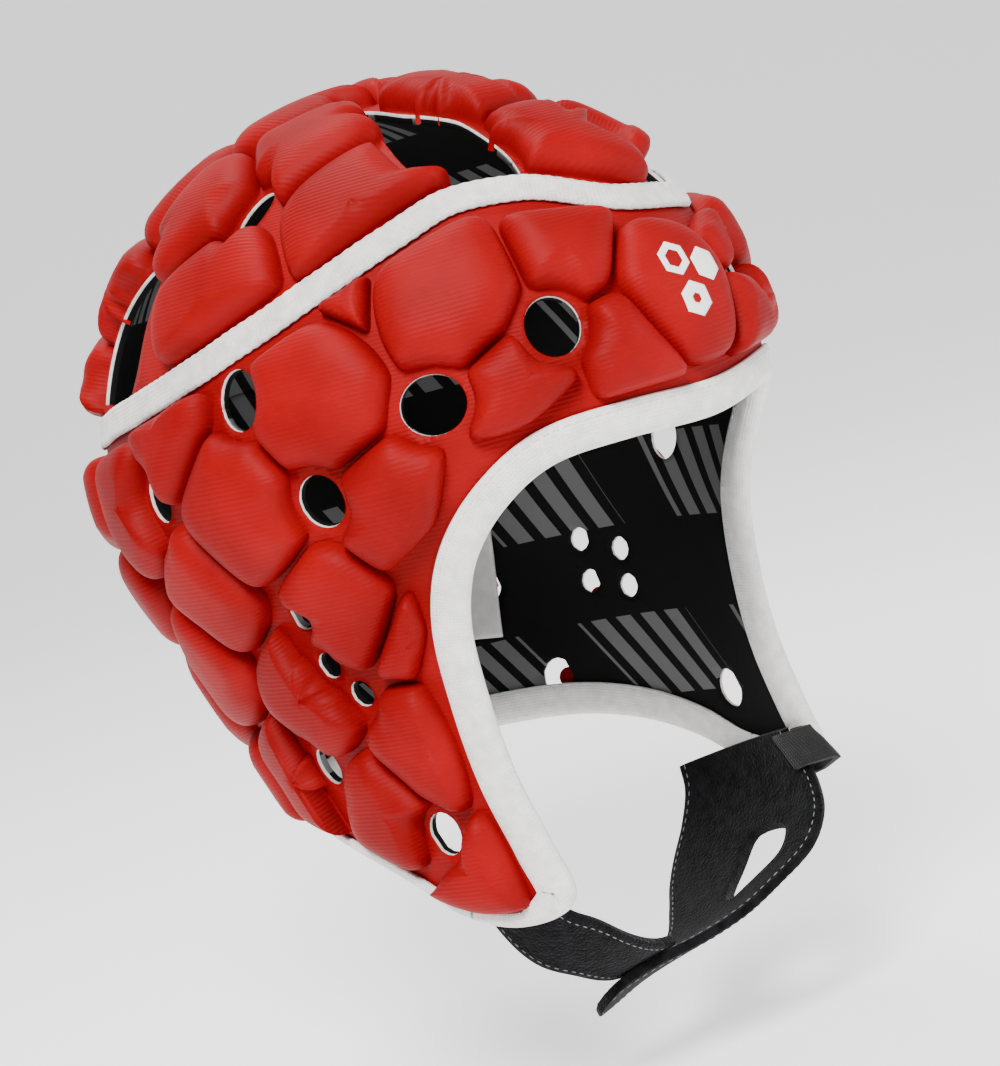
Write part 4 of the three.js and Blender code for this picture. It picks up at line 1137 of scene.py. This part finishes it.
def strap_points(frames, share, height):
    """Points of a strap's skin: share runs from -1 to 1 across it."""
    centre, across, normal, width_, bow = frames
    return (centre + across * (share * width_ / 2)[:, None]
            + normal * (height - bow * share**2)[:, None])


wide_angles = np.linspace(STRAP_FAR[0][0], STRAP_FAR[-1][0], 100)
wide_run = strap_frames(STRAP_FAR, wide_angles)[0]
print("wide strap", round(arc_lengths(wide_run)[-1]), "mm long")

# %% [markdown]
# Each strap is a bowed sheet of one thickness whose edges are rolled. Solidify would leave them square, so
# two skins are made that come closer towards the edge. The chin's opening is cut as the vents are, from a
# grid that is fine enough for a smooth curve.

# %% Skin of a strap
STRAP_STEPS, STRAP_ACROSS = 150, 33  # corners along and across a strap
STRAP_SPREAD = 0.95  # length of strap for each degree of the loop
ROOT_FROM = 168  # the angle from which the narrow strap climbs into its flap


def smooth_closed(corners, steps=10):
    """A closed smooth curve through some corners."""
    points = []
    count = len(corners)
    for i in range(count):
        p0, p1, p2, p3 = (corners[(i + k) % count] for k in (-1, 0, 1, 2))
        for f in np.arange(steps) / steps:
            points.append(hermite(f, p1, p2, (p2 - p0) / 2, (p3 - p1) / 2))
    return np.array(points)


def face_outwards(obj):
    """Turns a closed mesh's faces outwards where they point in."""
    mesh = obj.data
    mesh.calc_loop_triangles()
    points = np.array([v.co for v in mesh.vertices])
    triangles = np.array([t.vertices for t in mesh.loop_triangles])
    a, b, c = (points[triangles[:, k]] for k in range(3))
    volume = (np.cross(a, b) * c).sum() / 6
    if volume < 0:
        mesh.flip_normals()
    print(obj.name, "encloses", round(abs(volume) * 1e6, 2), "ml")


def strap_object(name, table, tuck, hole, root, material):
    angles = np.linspace(table[0][0], table[-1][0], STRAP_STEPS)
    frames = strap_frames(table, angles, tuck)
    share = np.sin(np.linspace(-1, 1, STRAP_ACROSS) * np.pi / 2)
    places = np.stack(np.meshgrid(angles * STRAP_SPREAD, share, indexing="ij"), -1)
    width_ = frames[3]
    places[..., 1] = share * width_[:, None] / 2
    flat = places.reshape(-1, 2)
    faces = []
    for i in range(STRAP_STEPS - 1):
        for j in range(STRAP_ACROSS - 1):
            a = i * STRAP_ACROSS + j
            faces.append((a, a + 1, a + STRAP_ACROSS + 1, a + STRAP_ACROSS))
    faces = np.array(faces)
    if hole:
        corners = [(angle * STRAP_SPREAD, forward) for angle, forward in hole]
        outline = smooth_closed(np.array(corners, float))
        flat, faces = cut_grid(flat, faces, [outline], 8.0)
    angle, forward = flat[:, 0] / STRAP_SPREAD, flat[:, 1]
    frames = strap_frames(table, angle, tuck)
    share = forward / (frames[3] / 2)
    round_edge = np.sqrt(np.clip(1 - np.abs(share) ** 14, 0, 1))
    thick = STRAP["thick"] / 2 * (0.35 + 0.65 * round_edge)
    outer, inner = strap_points(frames, share, thick), strap_points(frames, share, -thick)
    if root:
        climb = np.clip((angle - ROOT_FROM) / (180 - ROOT_FROM), 0, 1) * root
        outer[:, 2] += climb
        inner[:, 2] += climb
    count = len(flat)
    edges = border_edges(faces)
    walls_ = np.stack([edges[:, 1], edges[:, 0], edges[:, 0] + count, edges[:, 1] + count], 1)
    all_faces = np.concatenate([faces, faces[:, ::-1] + count, walls_])
    obj = make_object(name, np.vstack([outer, inner]), all_faces, np.zeros(len(all_faces)), [material])
    face_outwards(obj)
    return obj


strap_far = strap_object("wide_strap", STRAP_FAR, 0.0, STRAP_HOLE, 0, fleece)
strap_near = strap_object("narrow_strap", STRAP_NEAR, TUCK, None, NEAR_ROOT, fleece)

# %% [markdown]
# A short piece of webbing is folded round the wide strap's front edge, near its root. A bent plane could
# stand for it, but it has to grip the strap, so a hairpin section is lofted along the strap's own edge. A
# small bevel then softens every edge of straps and tab.

# %% Tab
TAB = {"from": 1.5, "to": 24, "reach": 12.5, "grip": 3.5, "wall": 1.1}
grip, fold = STRAP["thick"] / 2 + 3 * CLEAR, TAB["reach"] - 3
tab_section = [
    (-TAB["grip"], grip), (1, grip), (fold, CLEAR), (fold, -CLEAR), (1, -grip), (-TAB["grip"], -grip),
    (-TAB["grip"], -grip - TAB["wall"]), (2, -grip - TAB["wall"]), (TAB["reach"], -TAB["wall"]),
    (TAB["reach"], TAB["wall"]), (2, grip + TAB["wall"]), (-TAB["grip"], grip + TAB["wall"]),
]
tab_rings = []
for angle in np.linspace(TAB["from"], TAB["to"], 16):
    centre, across, normal, width_, bow = (value[0] for value in strap_frames(STRAP_FAR, np.array([angle])))
    edge = centre + across * width_ / 2 - normal * bow
    slope = math.atan2(2 * bow, width_ / 2)
    out = across * math.cos(slope) - normal * math.sin(slope)
    face = normal * math.cos(slope) + across * math.sin(slope)
    tab_rings.append([edge + out * forward + face * height for forward, height in tab_section])
strap_tab = strip_object("strap_loop", np.array(tab_rings)[:, ::-1], webbing, False)
face_outwards(strap_tab)
for piece, node, slot_name in (
    (strap_far, "strap_far", "black_fleece"),
    (strap_near, "strap_near", "black_fleece"),
    (strap_tab, "strap_tab", "black_webbing"),
):
    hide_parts(node)
    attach(piece, "root")
    bevel = piece.modifiers.new("soft edges", "BEVEL")
    bevel.width = 0.4 * MM
    bevel.segments = 2
    bevel.limit_method = "ANGLE"

# %% [markdown]
# The care label is a small patch of satin, sewn to the lining at the back. A flat plane would cut into the
# curved lining, so the patch is laid on the same surface, a hair inside it, with the slight ripple of a
# loose label.

# %% Care label
LABEL = {"turn": 135, "fall": 126, "lean": 8, "width": 34, "height": 26, "thick": 0.8, "off": 1}
LABEL_DOWN, LABEL_ACROSS = 25, 19  # corners down and across the label
RIPPLE = 0.25
label_frame = frame_at(LABEL["turn"], LABEL["fall"])
lean = math.radians(LABEL["lean"])
label_rings = []
over_share = np.linspace(-0.5, 0.5, LABEL_ACROSS)
for down_share in np.linspace(-0.5, 0.5, LABEL_DOWN):
    x, y = over_share * LABEL["height"], np.full(LABEL_ACROSS, down_share * LABEL["width"])
    flat = np.stack([x * math.cos(lean) - y * math.sin(lean), x * math.sin(lean) + y * math.cos(lean)], -1)
    chart = settle(to_world(label_frame, flat), label_frame["normal"], label_frame["chart"])
    ripple = RIPPLE * np.sin(over_share * 9) * np.sin(down_share * 7)
    near = at_chart(chart, ripple - LABEL["off"])
    far = at_chart(chart, ripple - LABEL["off"] - LABEL["thick"])
    label_rings.append(np.vstack([near, far[::-1]]))
care_label = strip_object("sewn_label", np.array(label_rings), label_cloth, False)
face_outwards(care_label)
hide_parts("care_label")
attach(care_label, "root")
print("label", LABEL["width"], "by", LABEL["height"], "mm")

# %% [markdown]
# Stitches repeat along a run, which is what Geometry Nodes are for. They could be painted, but in side
# light each one is a small raised thread. The tree takes a polyline, sets points along it at the stitch's
# pitch, and lays a thread on each, turned along the run.

# %% Stitch tree


def stitch_tree():
    tree = bpy.data.node_groups.new("stitches along a run", "GeometryNodeTree")
    face = tree.interface
    face.new_socket("Geometry", in_out="INPUT", socket_type="NodeSocketGeometry")
    face.new_socket("Pitch", in_out="INPUT", socket_type="NodeSocketFloat")
    face.new_socket("Stitch length", in_out="INPUT", socket_type="NodeSocketFloat")
    face.new_socket("Thread radius", in_out="INPUT", socket_type="NodeSocketFloat")
    face.new_socket("Thread", in_out="INPUT", socket_type="NodeSocketMaterial")
    face.new_socket("Geometry", in_out="OUTPUT", socket_type="NodeSocketGeometry")
    nodes, links = tree.nodes, tree.links
    start, end = nodes.new("NodeGroupInput"), nodes.new("NodeGroupOutput")
    curve = nodes.new("GeometryNodeMeshToCurve")
    points = nodes.new("GeometryNodeCurveToPoints")
    points.mode = "LENGTH"
    thread = nodes.new("GeometryNodeMeshIcoSphere")
    thread.inputs["Subdivisions"].default_value = 1
    thread.inputs["Radius"].default_value = 1
    size = nodes.new("ShaderNodeCombineXYZ")
    half_length = nodes.new("ShaderNodeMath")
    half_length.operation = "MULTIPLY"
    half_length.inputs[1].default_value = 0.5
    place_ = nodes.new("GeometryNodeInstanceOnPoints")
    aim = nodes.new("FunctionNodeAlignRotationToVector")
    aim.axis = "X"
    real = nodes.new("GeometryNodeRealizeInstances")
    paint = nodes.new("GeometryNodeSetMaterial")
    smooth = nodes.new("GeometryNodeSetShadeSmooth")
    links.new(start.outputs["Geometry"], curve.inputs["Mesh"])
    links.new(curve.outputs["Curve"], points.inputs["Curve"])
    links.new(start.outputs["Pitch"], points.inputs["Length"])
    links.new(points.outputs["Points"], place_.inputs["Points"])
    links.new(thread.outputs["Mesh"], place_.inputs["Instance"])
    links.new(points.outputs["Tangent"], aim.inputs["Vector"])
    links.new(aim.outputs["Rotation"], place_.inputs["Rotation"])
    links.new(start.outputs["Stitch length"], half_length.inputs[0])
    links.new(half_length.outputs["Value"], size.inputs["X"])
    links.new(start.outputs["Thread radius"], size.inputs["Y"])
    links.new(start.outputs["Thread radius"], size.inputs["Z"])
    links.new(size.outputs["Vector"], place_.inputs["Scale"])
    links.new(place_.outputs["Instances"], real.inputs["Geometry"])
    links.new(real.outputs["Geometry"], smooth.inputs["Geometry"])
    links.new(smooth.outputs["Geometry"], paint.inputs["Geometry"])
    links.new(start.outputs["Thread"], paint.inputs["Material"])
    links.new(paint.outputs["Geometry"], end.inputs["Geometry"])
    return tree


STITCHES = stitch_tree()


def sew(name, runs, pitch, stitch, radius, thread):
    """Stitches along some runs of points in millimetres, as one plain mesh."""
    points, edges = [], []
    for run in runs:
        edges += [(len(points) + i, len(points) + i + 1) for i in range(len(run) - 1)]
        points += (np.asarray(run) * MM).tolist()
    mesh = bpy.data.meshes.new(name + " run")
    mesh.from_pydata(points, edges, [])
    guide = bpy.data.objects.new(name + " run", mesh)
    bpy.context.scene.collection.objects.link(guide)
    modifier = guide.modifiers.new("stitches", "NODES")
    modifier.node_group = STITCHES
    values = {"Pitch": pitch * MM, "Stitch length": stitch * MM, "Thread radius": radius * MM}
    values["Thread"] = thread
    for item in STITCHES.interface.items_tree:
        if item.in_out == "INPUT" and item.name in values:
            modifier[item.identifier] = values[item.name]
    bpy.context.view_layer.update()
    made = bpy.data.meshes.new_from_object(guide.evaluated_get(bpy.context.evaluated_depsgraph_get()))
    bpy.data.objects.remove(guide)
    sewn = bpy.data.objects.new(name, made)
    bpy.context.scene.collection.objects.link(sewn)
    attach(sewn, "root")
    print(name, len(made.polygons), "faces")
    return sewn

# %% [markdown]
# Two rows hold the tape, a row on the inside holds each binding, one more holds the face binding on the
# outside where that side is wide, and a row follows each edge of the straps.
# The rows could be drawn by hand, but the functions that made the strips give the same runs a little
# further in, so every stitch stays on its cloth.

# %% Rows of stitches
tape_top = LAMINATE + CLEAR + 1.25
rows_on_tape = [beside_run(seam_place, tape_places, np.full(TAPE_STEPS, offset), tape_top)
                for offset in (-3.0, 3.0)]
sew("tape_stitches", rows_on_tape, 3.2, 2.3, 0.2, thread_white)
edge_runs = []
for places in (face_places, neck_places):
    edge_runs.append(beside_run(edge_place, places, np.full(len(places), 1.5 - width), -0.35 - wall))
fore_places = face_places[np.abs(face_places) < NARROWING[0]]
edge_runs.append(beside_run(edge_place, fore_places, np.full(len(fore_places), 1.5 - width), over + wall))
sew("binding_stitches", edge_runs, 2.8, 1.9, 0.16, thread_white)
strap_runs = []
for table, tuck in ((STRAP_FAR, 0.0), (STRAP_NEAR, TUCK)):
    angles = np.linspace(table[0][0] + 1.5, table[-1][0] - 1.5, 90)
    frames = strap_frames(table, angles, tuck)
    inset = 1 - 2.2 / (frames[3] / 2)
    for side_ in (-1, 1):
        for height in (-1, 1):
            strap_runs.append(strap_points(frames, side_ * inset, np.full(90, height * STRAP["thick"] / 2)))
sew("strap_stitches", strap_runs, 2.6, 1.8, 0.16, thread_grey)

# %% [markdown]
# The forehead pad carries a small white print of three hexagons. A picture on the pad would need an image
# file. Thin faces laid on the pad's skin, through the same sums that made the pad, follow its swell and
# stay sharp.

# %% Forehead print
BADGE = [(-4.3, 4.6, 4.4, 0.55), (4.3, 1.2, 4.4, 0.0), (-3.4, -5.8, 4.4, 0.3)]  # x, y, radius, hole share
BADGE_STEPS, BADGE_BANDS = 36, 5  # corners round a hexagon, and rings across it
PRINT_LIFT = 0.12
forehead = side_pads[-2]


def on_forehead(flat, lift):
    angles = np.arctan2(flat[:, 1], flat[:, 0])
    return lay_on_pad(forehead, flat, np.hypot(flat[:, 0], flat[:, 1]), reach(forehead, angles), lift)[1]


badge_points, badge_faces = [], []
for x, y, radius, hole in BADGE:
    start = len(badge_points)
    for band in range(BADGE_BANDS + 1):
        size = radius * (hole + (1 - hole) * band / BADGE_BANDS)
        for corner in range(BADGE_STEPS):
            angle = corner / BADGE_STEPS * 2 * np.pi
            wedge = (angle + np.pi / 6) % (np.pi / 3) - np.pi / 6
            away = size * math.cos(np.pi / 6) / math.cos(wedge)
            badge_points.append((x + away * math.cos(angle), y + away * math.sin(angle)))
    for band in range(BADGE_BANDS):
        inner = start + band * BADGE_STEPS
        for corner in range(BADGE_STEPS):
            a, b = inner + corner, inner + (corner + 1) % BADGE_STEPS
            badge_faces.append((a, a + BADGE_STEPS, b + BADGE_STEPS, b))
flat = np.array(badge_points)
badge = make_object("forehead_print", on_forehead(flat, PRINT_LIFT), np.array(badge_faces),
                    np.zeros(len(badge_faces)), [badge_print])
thin = badge.modifiers.new("print thickness", "SOLIDIFY")
thin.thickness = 0.1 * MM
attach(badge, "root")
print("print of", len(badge_faces), "faces")

# %% [markdown]
# The photograph's ground is plain white. A flat plane would show a horizon, so the pale floor lies well
# below the cap and curves up into a backdrop. It glows a little, which keeps the ground even.

# %% Floor
FLOOR = {"height": -0.275, "half_width": 9, "front": 4, "back": 1.6, "curve": 2.5, "steps": 24, "tall": 6}


def sweep():
    """A floor that curves up into a backdrop behind the cap, square to the camera."""
    turn = math.radians(CAMERA["turn"])
    away = np.array([-math.sin(turn), math.cos(turn), 0])
    aside = np.array([math.cos(turn), math.sin(turn), 0])
    profile = [(-FLOOR["front"], 0)]
    for angle in np.linspace(0, np.pi / 2, FLOOR["steps"]):
        distance = FLOOR["back"] + FLOOR["curve"] * math.sin(angle)
        profile.append((distance, FLOOR["curve"] * (1 - math.cos(angle))))
    profile.append((profile[-1][0], FLOOR["tall"]))
    points = []
    for distance, height in profile:
        for way in (-1, 1):
            spot = away * distance + aside * way * FLOOR["half_width"]
            points.append((spot[0], spot[1], FLOOR["height"] + height))
    return points, [(2 * i, 2 * i + 1, 2 * i + 3, 2 * i + 2) for i in range(len(profile) - 1)]


floor_mesh = bpy.data.meshes.new("floor")
floor_points, floor_faces = sweep()
floor_mesh.from_pydata(floor_points, [], floor_faces)
for polygon in floor_mesh.polygons:
    polygon.use_smooth = True
floor = bpy.data.objects.new("floor", floor_mesh)
bpy.context.scene.collection.objects.link(floor)
floor_paint, _, _, floor_shader = node_material("pale floor", (0.9, 0.9, 0.9), 0.9)
floor_shader.inputs["Emission Color"].default_value = (1, 1, 1, 1)
floor_shader.inputs["Emission Strength"].default_value = 0.8
floor_mesh.materials.append(floor_paint)

print("floor of", len(floor_faces), "faces")

# %% [markdown]
# Studio light for a pale ground is large and even. A sky could light the scene too, but round lamps are
# easier to place: in front, to the side and above, so the pads show their round shoulders.

# %% Lights
world = bpy.data.worlds.new("studio")
world.use_nodes = True
world.node_tree.nodes["Background"].inputs["Color"].default_value = (1, 1, 1, 1)
world.node_tree.nodes["Background"].inputs["Strength"].default_value = 0.2
bpy.context.scene.world = world


def soft_light(name, spot, target, size, power):
    """A round soft light that looks from a spot at a target."""
    data = bpy.data.lights.new(name, "AREA")
    data.shape = "DISK"
    data.size = size
    data.energy = power
    light = bpy.data.objects.new(name, data)
    bpy.context.scene.collection.objects.link(light)
    away = unit(np.array(spot) - np.array(target))
    aside = unit(np.cross([0, 0, 1], away))
    turned = Matrix.Identity(4)
    for column, axis in enumerate((aside, np.cross(away, aside), away, spot)):
        for row in range(3):
            turned[row][column] = axis[row]
    light.matrix_world = turned


MIDDLE = (0, 0, -0.1)
soft_light("key", (-0.75, -0.55, 0.75), MIDDLE, 0.5, 34)
soft_light("fill", (0.55, -1.0, 0.15), MIDDLE, 0.9, 8)
soft_light("top", (0.1, 0.3, 1.1), MIDDLE, 0.6, 14)
print(len(bpy.data.lights), "lights")

# %% [markdown]
# Last, every piece says how many triangles it has.

# %% Triangle counts
bpy.context.view_layer.update()
for obj in bpy.data.objects:
    if obj.type == "MESH" and obj.name in bpy.context.view_layer.objects:
        obj.data.calc_loop_triangles()
        print(obj.name, len(obj.data.loop_triangles))
